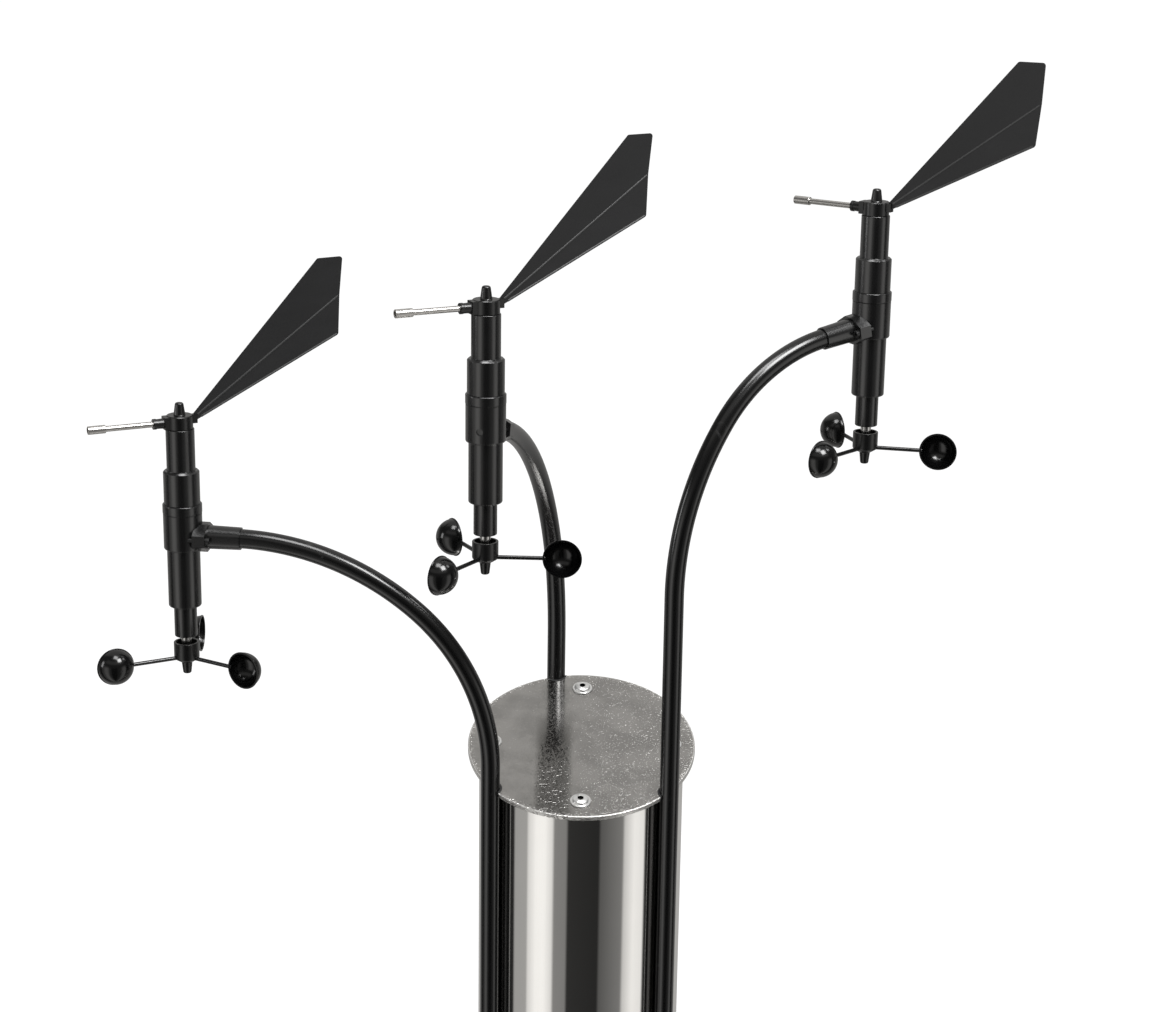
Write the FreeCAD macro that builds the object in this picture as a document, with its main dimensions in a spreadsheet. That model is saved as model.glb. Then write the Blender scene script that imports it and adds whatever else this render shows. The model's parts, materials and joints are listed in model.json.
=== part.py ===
import FreeCAD, Part
import math
import os

import Sketcher

# Wind sensor station: three heads (wind vane above, cup anemometer below) on bent tube arms,
# which run down the outside of one round column with a sloping cap plate.
# Millimetres, +Z up, origin at the middle of the base flange's underside.

OUT_DIR = "parts"
doc = FreeCAD.newDocument("wind_sensor_station")
sheet = doc.addObject("Spreadsheet::Sheet", "sizes")

SIZES = [
    ("Column, cap plate and base", [
        ("column_outer_r", 109.55), ("column_wall", 3.0), ("plate_height", 420.0),
        ("plate_tilt", 17.3), ("plate_overhang", 12.25), ("plate_thick", 5.0),
        ("plate_edge", 0.6), ("notch_gap", 2.0), ("screw_inset", 13.15), ("ring_width", 24.0),
        ("ring_thick", 8.0), ("weld_gap", 0.25), ("flange_out", 55.45), ("flange_thick", 12.0),
        ("flange_lip", 29.55), ("anchor_out", 35.45), ("anchor_hole_r", 7.0),
        ("anchor_count", 6),
    ]),
    ("Cap screws, M10 with flanged button heads", [
        ("cap_screw_shank_r", 4.2), ("cap_screw_past_ring", 3.0), ("cap_screw_flange_r", 10.95),
        ("cap_screw_flange_thick", 1.6), ("cap_screw_head_r", 8.75), ("cap_screw_dome", 3.4),
        ("cap_screw_round", 2.89), ("cap_screw_socket_r", 3.5), ("cap_screw_socket_deep", 3.0),
        ("cap_screw_hole_gap", 1.2), ("cap_screw_count", 4),
    ]),
    ("Small socket screws, M4", [
        ("small_shank_r", 1.95), ("small_length", 18.0), ("small_head_r", 3.5),
        ("small_head_high", 4.0), ("small_socket_r", 1.7), ("small_socket_deep", 2.2),
        ("small_hole_gap", 0.15),
    ]),
    ("Arm tubes and their clamps", [
        ("tube_r", 10.0), ("tube_wall", 1.5), ("tube_standoff", 0.45), ("tube_fit", 0.15),
        ("tube_foot", 2.0), ("clamp_height", 50.0), ("clamp_high", 16.0), ("clamp_wall", 3.0),
        ("clamp_screw_clear", 6.0), ("clamp_edge", 6.0), ("clamp_lug_thick", 6.45),
        ("clamp_blank_in", 11.0),
    ]),
    ("Arm socket on the centre housing", [
        ("arm_up", 13.4), ("saddle_proud", 7.1), ("saddle_thick", 13.0), ("saddle_lip", 1.7),
        ("saddle_mid_half", 6.0), ("saddle_screw_clear", 0.3), ("saddle_edge", 1.0),
        ("sleeve_long", 33.5), ("sleeve_root_wall", 2.7), ("sleeve_tip_wall", 1.7),
        ("sleeve_stop_in", 7.0), ("nipple_r", 5.0), ("nipple_wall", 1.2), ("nipple_deep", 2.9),
        ("seat_gap", 0.1), ("arm_lead", 31.0),
    ]),
    ("Housings", [
        ("hub_to_neck", 7.05), ("lower_neck_long", 32.55), ("lower_long", 61.8),
        ("centre_long", 37.8), ("collar_high", 10.1), ("upper_long", 35.2), ("neck_long", 43.7),
        ("neck_wall", 3.6), ("shoulder_out", 3.9), ("collar_proud", 1.7), ("centre_proud", 1.4),
        ("lower_step", 3.0), ("lower_neck_wall", 4.2), ("housing_wall", 2.4),
        ("spigot_deep", 6.0), ("spigot_wall", 2.0), ("joint_gap", 0.1),
        ("shoulder_chamfer", 1.6), ("edge_round", 2.0), ("neck_edge", 0.8), ("board_up", 8.0),
        ("board_thick", 1.6), ("board_hole_r", 5.0), ("board_ledge", 1.6),
        ("lower_spigot_high", 4.0), ("access_r", 3.4), ("access_deep", 1.4),
    ]),
    ("Bearings and spindles", [
        ("vane_bearing_r", 11.0), ("vane_bearing_wide", 7.0), ("vane_bearing_up", 3.8),
        ("vane_bearing_down", 8.9), ("cup_bearing_r", 7.5), ("cup_bearing_wide", 5.0),
        ("cup_bearing_up", 3.25), ("cup_bearing_down", 4.3), ("bearing_seat_gap", 0.02),
        ("run_gap", 0.03), ("vane_spindle_r", 4.0), ("cup_spindle_r", 3.0), ("magnet_r", 6.0),
        ("magnet_thick", 3.0), ("sensing_gap", 3.0), ("stud_r", 2.5), ("stud_high", 7.0),
        ("shaft_collar_r", 5.5), ("turning_gap", 0.5),
    ]),
    ("Wind vane", [
        ("hub_r", 13.5), ("hub_high", 13.6), ("hub_edge", 0.8), ("cap_base_r", 5.9),
        ("cap_tip_r", 4.2), ("cap_high", 12.9), ("cap_round", 2.6), ("rod_up", 6.7),
        ("rod_r", 3.0), ("rod_in", 8.0), ("rod_reach", 92.0), ("weight_r", 4.3),
        ("weight_long", 18.0), ("weight_lip", 3.0), ("weight_socket_r", 2.6),
        ("boss_half_wide", 6.4), ("boss_proud", 3.5), ("boss_top_gap", 0.8),
        ("ferrule_long", 11.0), ("ferrule_root_r", 5.8), ("ferrule_tip_r", 4.9),
        ("ferrule_ring_r", 5.5), ("ferrule_ring_long", 3.0), ("lug_proud", 4.5),
        ("lug_half_wide", 3.2), ("lug_high", 9.0), ("lug_lip", 1.0), ("blade_thick", 1.4),
        ("blade_fit", 0.1), ("blade_seat", 3.8), ("blade_root_low_up", 5.5),
        ("blade_root_top_up", 13.7), ("blade_top_x", 149.5), ("blade_top_up", 165.2),
        ("blade_tail_x", 177.0), ("blade_tail_up", 165.5), ("blade_foot_x", 171.5),
        ("blade_foot_up", 84.5), ("blade_crease_x", 174.2), ("blade_crease_up", 125.3),
        ("blade_fold", 0.085), ("blade_corner_r", 3.0),
    ]),
    ("Cup rotor", [
        ("cup_hub_r", 13.1), ("cup_hub_top", 16.7), ("cup_hub_straight", 1.0),
        ("cup_hub_low", 4.6), ("cup_hub_low_r", 7.4), ("cup_hub_recess_r", 10.8),
        ("cup_hub_floor", 11.0), ("nose_r", 5.6), ("nose_tip_r", 4.2), ("nose_long", 13.0),
        ("nose_round", 1.8), ("spoke_r", 2.1), ("spoke_in", 5.0), ("cup_circle_r", 76.3),
        ("cup_r", 18.9), ("cup_wall", 1.2), ("cup_lip_proud", 0.7), ("cup_lip_thick", 1.4),
        ("cup_mouth_off", 2.6), ("cup_nub_r", 1.3), ("cup_nub_tip_r", 0.91),
        ("cup_nub_high", 0.9), ("cup_count", 3), ("spoke_fit", 0.02), ("spoke_through", 1.0),
    ]),
    ("Cutting tools", [("cut_over", 20.0)]),
]

# Sizes that follow from the ones above, as expressions on their names. A head's levels stack up
# from its cup spokes, and what fits round or inside another piece is worked out from it.
FOLLOWING = {
    "plate_r": "column_outer_r + plate_overhang",
    "screw_circle_r": "column_outer_r - screw_inset",
    "column_inner_r": "column_outer_r - column_wall",
    "ring_outer_r": "column_inner_r - weld_gap",
    "flange_r": "column_outer_r + flange_out",
    "flange_hole_r": "column_outer_r - flange_lip",
    "anchor_circle_r": "column_outer_r + anchor_out",
    "tube_circle_r": "column_outer_r + tube_standoff + tube_r",
    "cap_screw_length": "plate_thick + ring_thick + cap_screw_past_ring",
    "cap_screw_top": "cap_screw_flange_thick + cap_screw_dome",
    "clamp_lug_r": "column_outer_r + clamp_lug_thick",
    "clamp_screw_off": "tube_r + clamp_wall + clamp_screw_clear",
    "clamp_half_width": "clamp_screw_off + clamp_edge",
    "lower_neck_bottom": "cup_hub_top + hub_to_neck",
    "lower_bottom": "lower_neck_bottom + lower_neck_long",
    "centre_bottom": "lower_bottom + lower_long",
    "arm_height": "centre_bottom + arm_up",
    "board_level": "arm_height + board_up",
    "collar_bottom": "centre_bottom + centre_long",
    "collar_top": "collar_bottom + collar_high",
    "shoulder": "collar_top + upper_long",
    "neck_top": "shoulder + neck_long",
    "neck_r": "vane_bearing_r + neck_wall",
    "upper_r": "neck_r + shoulder_out",
    "upper_inner_r": "upper_r - housing_wall",
    "collar_r": "upper_r + collar_proud",
    "centre_r": "upper_r + centre_proud",
    "lower_r": "centre_r - lower_step",
    "lower_inner_r": "lower_r - housing_wall",
    "lower_neck_r": "cup_bearing_r + lower_neck_wall",
    "vane_bearing_low": "shoulder + vane_bearing_up",
    "vane_bearing_high": "neck_top - vane_bearing_down",
    "cup_bearing_low": "lower_neck_bottom + cup_bearing_up",
    "cup_bearing_high": "lower_bottom - cup_bearing_down",
    "sleeve_root_r": "tube_r + sleeve_root_wall",
    "sleeve_tip_r": "tube_r + sleeve_tip_wall",
    "saddle_out": "centre_r + saddle_proud",
    "saddle_in": "saddle_out - saddle_thick",
    "saddle_half_high": "sleeve_root_r + saddle_lip",
    "saddle_screw_off": "sleeve_root_r + small_head_r + saddle_screw_clear",
    "saddle_half_width": "saddle_screw_off + small_head_r + saddle_edge",
    "sleeve_end": "saddle_out + sleeve_long",
    "sleeve_stop": "saddle_out + sleeve_stop_in",
    "arm_straight": "saddle_out + arm_lead",
    "nipple_bore_r": "nipple_r - nipple_wall",
    "nipple_in": "centre_r - nipple_deep",
    "hub_bottom": "neck_top + turning_gap",
    "hub_top": "hub_bottom + hub_high",
    "rod_height": "neck_top + rod_up",
    "boss_reach": "hub_r + boss_proud",
    "ferrule_reach": "boss_reach + ferrule_long",
    "lug_reach": "hub_r + lug_proud",
    "blade_root_x": "lug_reach - blade_seat",
    "blade_root_low": "neck_top + blade_root_low_up",
    "blade_root_top": "neck_top + blade_root_top_up",
    "blade_top_z": "neck_top + blade_top_up",
    "blade_tail_z": "neck_top + blade_tail_up",
    "blade_crease_z": "neck_top + blade_crease_up",
    "blade_foot_z": "neck_top + blade_foot_up",
    "cup_lip_r": "cup_r + cup_lip_proud",
    "cup_magnet_low": "board_level - sensing_gap - magnet_thick",
    "vane_magnet_low": "board_level + board_thick + sensing_gap",
}

# Each head: where its axis stands, the level of its cup spokes above the cap plate, where its
# tube stands round the column, how its tube bends, and how its vane and cups are turned at rest.
HEAD_FIELDS = ("axis_x", "axis_y", "level", "tube_angle", "bend_r", "bend_angle", "arm_slope",
               "vane_angle", "cup_angle")
HEADS = {
    "left": (-412.5, -46.9, 107.9, 218.07, 223.0, 49.0, 1.0, 27.0, -31.0),
    "middle": (-97.9, -140.7, 250.0, 104.28, 298.0, 50.0, 15.0, 27.5, -1.3),
    "right": (293.0, 35.5, 323.8, 320.48, 320.0, 34.0, 10.0, -34.0, -11.5),
}


def fill_sheet():
    """Write every size into the sheet as a plain number with an alias."""
    row = 1
    groups = SIZES + [(name + " head", [(name + "_" + field, value)
                      for field, value in zip(HEAD_FIELDS, values)])
                      for name, values in HEADS.items()]
    for title, rows in groups:
        sheet.set("A%d" % row, title)
        row += 1
        for alias, value in rows:
            sheet.set("A%d" % row, alias)
            sheet.set("B%d" % row, str(value))
            sheet.setAlias("B%d" % row, alias)
            row += 1
    doc.recompute()


def bound(text):
    """An expression on bare size names, written for setExpression."""
    out = ""
    word = ""
    for char in text + " ":
        if char.isalnum() or char == "_":
            word += char
            continue
        if word in FOLLOWING:
            out += "(" + bound(FOLLOWING[word]) + ")"
        elif word[:1].isalpha() and word != "sqrt":
            out += "sizes." + word
        else:
            out += word
        out += char
        word = ""
    return out.strip()


def value_of(text):
    """The present value of an expression on bare size names."""
    return float(sheet.evalExpression(bound(text).replace("sizes.", "")))


def size(name):
    """The present value of one size, for placements and start values."""
    return value_of(name)


def vec(x, y, z):
    return FreeCAD.Vector(x, y, z)


def turn(axis, angle, at=(0.0, 0.0, 0.0)):
    """A placement at a point, turned about an axis by degrees."""
    return FreeCAD.Placement(vec(*at), FreeCAD.Rotation(vec(*axis), angle))


AXIS_Z = (0.0, 0.0, 1.0)
AXIS_Y = (0.0, 1.0, 0.0)
AXIS_X = (1.0, 0.0, 0.0)
CLOSE = 1e-4


# ---------------------------------------------------------------- building blocks

def new_body(label):
    body = doc.addObject("PartDesign::Body", label)
    body.Label = label
    return body


def plane_of(body, role):
    for feature in body.Origin.OriginFeatures:
        if feature.Role == role:
            return feature
    raise ValueError("no plane " + role)


def new_sketch(body, name, role):
    sketch = body.newObject("Sketcher::SketchObject", name)
    sketch.AttachmentSupport = [(plane_of(body, role), "")]
    sketch.MapMode = "FlatFace"
    return sketch


def pin_point(sketch, geo, end, x_text, y_text):
    """Hold a sketch point at two expressions measured from the sketch's origin."""
    for kind, text, axis in (("DistanceX", x_text, -2), ("DistanceY", y_text, -1)):
        if text == "0":
            sketch.addConstraint(Sketcher.Constraint("PointOnObject", geo, end, axis))
            continue
        index = sketch.addConstraint(
            Sketcher.Constraint(kind, -1, 1, geo, end, value_of(text)))
        sketch.setExpression("Constraints[%d]" % index, bound(text))


def outline(sketch, points):
    """A closed outline through points given as pairs of expressions."""
    places = [vec(value_of(a), value_of(b), 0) for a, b in points]
    count = len(points)
    for i in range(count):
        sketch.addGeometry(Part.LineSegment(places[i], places[(i + 1) % count]), False)
    for i in range(count):
        sketch.addConstraint(Sketcher.Constraint("Coincident", i, 2, (i + 1) % count, 1))
    for i, (a, b) in enumerate(points):
        pin_point(sketch, i, 1, a, b)


def ring_edges(shape, radius, level):
    """Names of the circular edges about Z with a radius at a level."""
    names = []
    for number, edge in enumerate(shape.Edges, 1):
        curve = edge.Curve
        if not isinstance(curve, Part.Circle):
            continue
        if abs(curve.Radius - radius) < CLOSE and abs(curve.Center.z - level) < CLOSE:
            names.append("Edge%d" % number)
    return names


def soften(body, kind, radius_text, level_text, amount_text):
    """Round or chamfer the edge of a turned body at a radius and level."""
    doc.recompute()
    base = body.Tip
    names = ring_edges(base.Shape, value_of(radius_text), value_of(level_text))
    feature = body.newObject("PartDesign::" + kind, kind)
    feature.Base = (base, names)
    feature.setExpression("Radius" if kind == "Fillet" else "Size", bound(amount_text))
    body.Tip = feature


def turned(label, points, softened=()):
    """A body turned about Z from (radius, level) expressions, with softened ring edges."""
    body = new_body(label)
    sketch = new_sketch(body, "profile", "XZ_Plane")
    outline(sketch, points)
    revolve = body.newObject("PartDesign::Revolution", "turned")
    revolve.Profile = sketch
    revolve.ReferenceAxis = (sketch, ["V_Axis"])
    revolve.Angle = 360.0
    body.Tip = revolve
    for item in softened:
        soften(body, *item)
    return body


def primitive(kind, label, place=None, **texts):
    """A Part primitive whose sizes are expressions."""
    solid = doc.addObject("Part::" + kind, label)
    for name, text in texts.items():
        solid.setExpression(name, bound(text))
    if place is not None:
        solid.Placement = place
    return solid


def joined(label, solids):
    fuse = doc.addObject("Part::MultiFuse", label)
    fuse.Shapes = solids
    return fuse


def cut(label, base, tools):
    """Base less its tools, which are joined first when there are several."""
    result = doc.addObject("Part::Cut", label)
    result.Base = base
    result.Tool = tools[0] if len(tools) == 1 else joined(label + "_tools", tools)
    return result


def shared(label, first, second):
    result = doc.addObject("Part::Common", label)
    result.Base = first
    result.Tool = second
    return result


def group_of(label, source, places):
    """Copies of one piece as separate solids of one node."""
    links = []
    for place in places:
        link = doc.addObject("App::Link", label + "_copy")
        link.LinkedObject = source
        link.LinkTransform = False
        link.Placement = place
        links.append(link)
    compound = doc.addObject("Part::Compound", label)
    compound.Links = links
    return compound


def round_bar(label, radius, start, length, place=None):
    """A round bar along Z from a level, as expressions."""
    bar = primitive("Cylinder", label, place, Radius=radius, Height=length)
    if place is None:
        bar.setExpression("Placement.Base.z", bound(start))
    return bar


fill_sheet()
NODES = []


def node(label, thing, place=None):
    """Name a finished piece, put it in place and list it for export."""
    thing.Label = label
    if place is not None:
        thing.Placement = place
    NODES.append(thing)
    return thing


# ---------------------------------------------------------------- shared frames

TILT = turn(AXIS_X, size("plate_tilt"), (0.0, 0.0, size("plate_height")))


def tube_foot_place(name, level=0.0):
    """Where a head's tube stands beside the column, with +X pointing away from the column."""
    angle = size(name + "_tube_angle")
    around = math.radians(angle)
    radius = size("tube_circle_r")
    at = (radius * math.cos(around), radius * math.sin(around), level)
    return turn(AXIS_Z, angle, at)


def head_base(name):
    """The middle of a head's cup spokes."""
    return (size(name + "_axis_x"), size(name + "_axis_y"),
            size("plate_height") + size(name + "_level"))


def head_place(name, angle):
    return turn(AXIS_Z, angle, head_base(name))


def arm_bearing(name):
    """Horizontal distance and direction, in degrees, from a head's axis to its tube's foot."""
    foot = tube_foot_place(name).Base
    base = head_base(name)
    dx = foot.x - base[0]
    dy = foot.y - base[1]
    return math.hypot(dx, dy), math.degrees(math.atan2(dy, dx))


# ---------------------------------------------------------------- column, cap plate, base

def small_screw(label="small_screw"):
    """M4 socket screw along Z: head above zero, shank below."""
    head = primitive("Cylinder", label + "_head", Radius="small_head_r", Height="small_head_high")
    shank = round_bar(label + "_shank", "small_shank_r", "-small_length", "small_length")
    socket = doc.addObject("Part::Prism", label + "_socket")
    socket.Polygon = 6
    socket.setExpression("Circumradius", bound("small_socket_r"))
    socket.setExpression("Height", bound("small_socket_deep"))
    socket.setExpression("Placement.Base.z", bound("small_head_high - small_socket_deep"))
    return cut(label, joined(label + "_blank", [head, shank]), [socket])


def cap_screw():
    """Flanged button-head screw along Z: flange seat at zero."""
    body = turned("cap_screw_blank", [
        ("0", "-cap_screw_length"),
        ("cap_screw_shank_r", "-cap_screw_length"),
        ("cap_screw_shank_r", "0"),
        ("cap_screw_flange_r", "0"),
        ("cap_screw_flange_r", "cap_screw_flange_thick"),
        ("cap_screw_head_r", "cap_screw_flange_thick"),
        ("cap_screw_head_r", "cap_screw_top"),
        ("0", "cap_screw_top"),
    ], [("Fillet", "cap_screw_head_r", "cap_screw_top", "cap_screw_round")])
    socket = doc.addObject("Part::Prism", "cap_screw_socket")
    socket.Polygon = 6
    socket.setExpression("Circumradius", bound("cap_screw_socket_r"))
    socket.setExpression("Height", bound("cap_screw_top"))
    socket.setExpression("Placement.Base.z", bound("cap_screw_top - cap_screw_socket_deep"))
    return cut("cap_screw", body, [socket])


def tilted(place):
    """A placement in the cap plate's own frame, carried to the station's frame."""
    return TILT.multiply(place)


def screw_places(level):
    """The cap screw places in the cap plate's frame, at a level from its top face."""
    out = turn(AXIS_Z, 0.0, (size("screw_circle_r"), 0.0, level))
    count = int(size("cap_screw_count"))
    return [turn(AXIS_Z, 360.0 * i / count).multiply(out) for i in range(count)]


def tube_columns(label, radius_text):
    """Upright bars at the three tubes, through the cap plate."""
    bars = []
    for name in HEADS:
        bars.append(primitive("Cylinder", label + "_" + name, tube_foot_place(name),
                              Radius=radius_text, Height="plate_height + plate_r"))
    return bars


def build_cap_plate():
    body = new_body("cap_plate_disc")
    sketch = new_sketch(body, "disc", "XY_Plane")
    sketch.addGeometry(Part.Circle(vec(0, 0, 0), vec(0, 0, 1), size("plate_r")), False)
    sketch.addConstraint(Sketcher.Constraint("Coincident", 0, 3, -1, 1))
    index = sketch.addConstraint(Sketcher.Constraint("Radius", 0, size("plate_r")))
    sketch.setExpression("Constraints[%d]" % index, bound("plate_r"))
    pad = body.newObject("PartDesign::Pad", "plate")
    pad.Profile = sketch
    pad.Reversed = True
    pad.setExpression("Length", bound("plate_thick"))
    body.Tip = pad
    soften(body, "Chamfer", "plate_r", "0", "plate_edge")
    body.Placement = TILT
    holes = [primitive("Cylinder", "plate_screw_hole", tilted(place),
                       Radius="cap_screw_shank_r + cap_screw_hole_gap",
                       Height="plate_thick + cut_over * 2")
             for place in screw_places(-size("plate_thick") - size("cut_over"))]
    notches = tube_columns("plate_notch", "tube_r + notch_gap")
    node("cap_plate", cut("cap_plate", body, holes + notches))


def build_grommets():
    """Edge strips in the three notches, between tube and plate."""
    slab = primitive("Cylinder", "grommet_slab",
                     tilted(turn(AXIS_Z, 0, (0, 0, -size("plate_thick")))),
                     Radius="plate_r - plate_edge", Height="plate_thick + plate_edge")
    sleeves = cut("grommet_sleeves",
                  joined("grommet_outer", tube_columns("grommet_out", "tube_r + notch_gap")),
                  tube_columns("grommet_in", "tube_r + tube_fit"))
    node("notch_grommets", shared("notch_grommets", sleeves, slab))


def build_support_ring():
    """Ring inside the column's top that takes the cap screws."""
    bottom = -size("plate_thick") - size("ring_thick")
    start = bottom - size("cut_over")
    disc = primitive("Cylinder", "ring_disc", tilted(turn(AXIS_Z, 0, (0, 0, bottom))),
                     Radius="plate_r", Height="ring_thick")
    bore = primitive("Cylinder", "ring_bore", tilted(turn(AXIS_Z, 0, (0, 0, start))),
                     Radius="column_inner_r - ring_width", Height="ring_thick + cut_over * 2")
    holes = [primitive("Cylinder", "ring_thread", tilted(place),
                       Radius="cap_screw_shank_r + run_gap",
                       Height="ring_thick + cut_over * 2")
             for place in screw_places(start)]
    inside = primitive("Cylinder", "ring_limit", Radius="ring_outer_r",
                       Height="plate_height + plate_r")
    ring = cut("ring_blank", disc, [bore] + holes)
    node("cap_support_ring", shared("cap_support_ring", ring, inside))


def clamp_screw_places():
    """Two screws through each tube clamp, pointing at the column's inside."""
    places = []
    for name in HEADS:
        base = turn(AXIS_Z, size(name + "_tube_angle"), (0, 0, size("clamp_height")))
        for side in (-1, 1):
            local = turn(AXIS_Y, 90.0, (size("clamp_lug_r"), side * size("clamp_screw_off"), 0))
            places.append(base.multiply(local))
    return places


def screw_holes(label, places):
    """Clearance bars for small screws at given places."""
    bars = []
    for place in places:
        deep = place.multiply(turn(AXIS_Z, 0, (0, 0, -size("small_length") - size("joint_gap"))))
        bars.append(primitive("Cylinder", label, deep, Radius="small_shank_r + small_hole_gap",
                              Height="small_length + cut_over"))
    return bars


def build_column():
    """Column tube on the flange, its top cut to the slope of the cap plate."""
    outer = round_bar("column_outer", "column_outer_r", "flange_thick", "plate_height + plate_r")
    inner = primitive("Cylinder", "column_inner", Radius="column_inner_r",
                      Height="plate_height + plate_r + cut_over")
    reach = 2 * size("plate_r")
    above = primitive("Box", "above_plate",
                      tilted(turn(AXIS_Z, 0, (-reach, -reach, -size("plate_thick")))),
                      Length="plate_r * 4", Width="plate_r * 4",
                      Height="plate_height + plate_r")
    holes = screw_holes("column_screw_hole", clamp_screw_places())
    node("column_tube", cut("column_tube", outer, [inner, above] + holes))


def build_base_flange():
    body = new_body("base_flange_disc")
    sketch = new_sketch(body, "disc", "XY_Plane")
    for number, alias in enumerate(("flange_r", "flange_hole_r")):
        sketch.addGeometry(Part.Circle(vec(0, 0, 0), vec(0, 0, 1), size(alias)), False)
        sketch.addConstraint(Sketcher.Constraint("Coincident", number, 3, -1, 1))
        index = sketch.addConstraint(Sketcher.Constraint("Radius", number, size(alias)))
        sketch.setExpression("Constraints[%d]" % index, bound(alias))
    pad = body.newObject("PartDesign::Pad", "plate")
    pad.Profile = sketch
    pad.setExpression("Length", bound("flange_thick"))
    body.Tip = pad
    anchor = new_sketch(body, "anchor", "XY_Plane")
    anchor.addGeometry(Part.Circle(vec(size("anchor_circle_r"), 0, 0), vec(0, 0, 1),
                                   size("anchor_hole_r")), False)
    anchor.addConstraint(Sketcher.Constraint("PointOnObject", 0, 3, -1))
    index = anchor.addConstraint(
        Sketcher.Constraint("DistanceX", -1, 1, 0, 3, size("anchor_circle_r")))
    anchor.setExpression("Constraints[%d]" % index, bound("anchor_circle_r"))
    index = anchor.addConstraint(Sketcher.Constraint("Radius", 0, size("anchor_hole_r")))
    anchor.setExpression("Constraints[%d]" % index, bound("anchor_hole_r"))
    pocket = body.newObject("PartDesign::Pocket", "anchor_hole")
    pocket.Profile = anchor
    pocket.Type = "ThroughAll"
    pocket.Midplane = True
    pattern = body.newObject("PartDesign::PolarPattern", "anchor_holes")
    pattern.Originals = [pocket]
    pattern.Axis = (anchor, ["N_Axis"])
    pattern.Angle = 360.0
    pattern.setExpression("Occurrences", bound("anchor_count"))
    body.Tip = pattern
    soften(body, "Chamfer", "flange_r", "flange_thick", "plate_edge")
    holes = [primitive("Cylinder", "flange_tube_hole", tube_foot_place(name),
                       Radius="tube_r + tube_fit", Height="flange_thick + cut_over")
             for name in HEADS]
    node("base_flange", cut("base_flange", body, holes))


def build_clamps():
    """One saddle clamp per tube, near the foot of the column."""
    clamps = []
    for name in HEADS:
        angle = size(name + "_tube_angle")
        low = size("clamp_height") - size("clamp_high") / 2
        depth = size("column_outer_r") - size("clamp_blank_in")
        bow = primitive("Box", "clamp_bow", turn(AXIS_Z, 0, (
            depth, -size("tube_r") - size("clamp_wall"), low)),
            Length="clamp_blank_in + tube_standoff + tube_r * 2 + clamp_wall",
            Width="tube_r * 2 + clamp_wall * 2", Height="clamp_high")
        lugs = primitive("Box", "clamp_lugs",
                         turn(AXIS_Z, 0, (depth, -size("clamp_half_width"), low)),
                         Length="clamp_blank_in + clamp_lug_thick",
                         Width="clamp_half_width * 2", Height="clamp_high")
        blank = joined("clamp_blank_" + name, [bow, lugs])
        blank.Placement = turn(AXIS_Z, angle)
        column = primitive("Cylinder", "clamp_column", Radius="column_outer_r + tube_fit",
                           Height="plate_height")
        tube = primitive("Cylinder", "clamp_tube", tube_foot_place(name),
                         Radius="tube_r + tube_fit", Height="plate_height")
        holes = screw_holes("clamp_hole", clamp_screw_places())
        clamps.append(cut("clamp_" + name, blank, [column, tube] + holes))
    compound = doc.addObject("Part::Compound", "tube_clamps")
    compound.Links = clamps
    node("tube_clamps", compound)


# ---------------------------------------------------------------- arms

def arm_axis(name):
    """The arm's own axis at the head: +Z runs from the head's axis outwards and down the arm."""
    _, bearing = arm_bearing(name)
    slope = size(name + "_arm_slope")
    head = turn(AXIS_Z, bearing, head_base(name))
    return head.multiply(turn(AXIS_Y, 90.0 + slope, (0, 0, size("arm_height"))))


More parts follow.
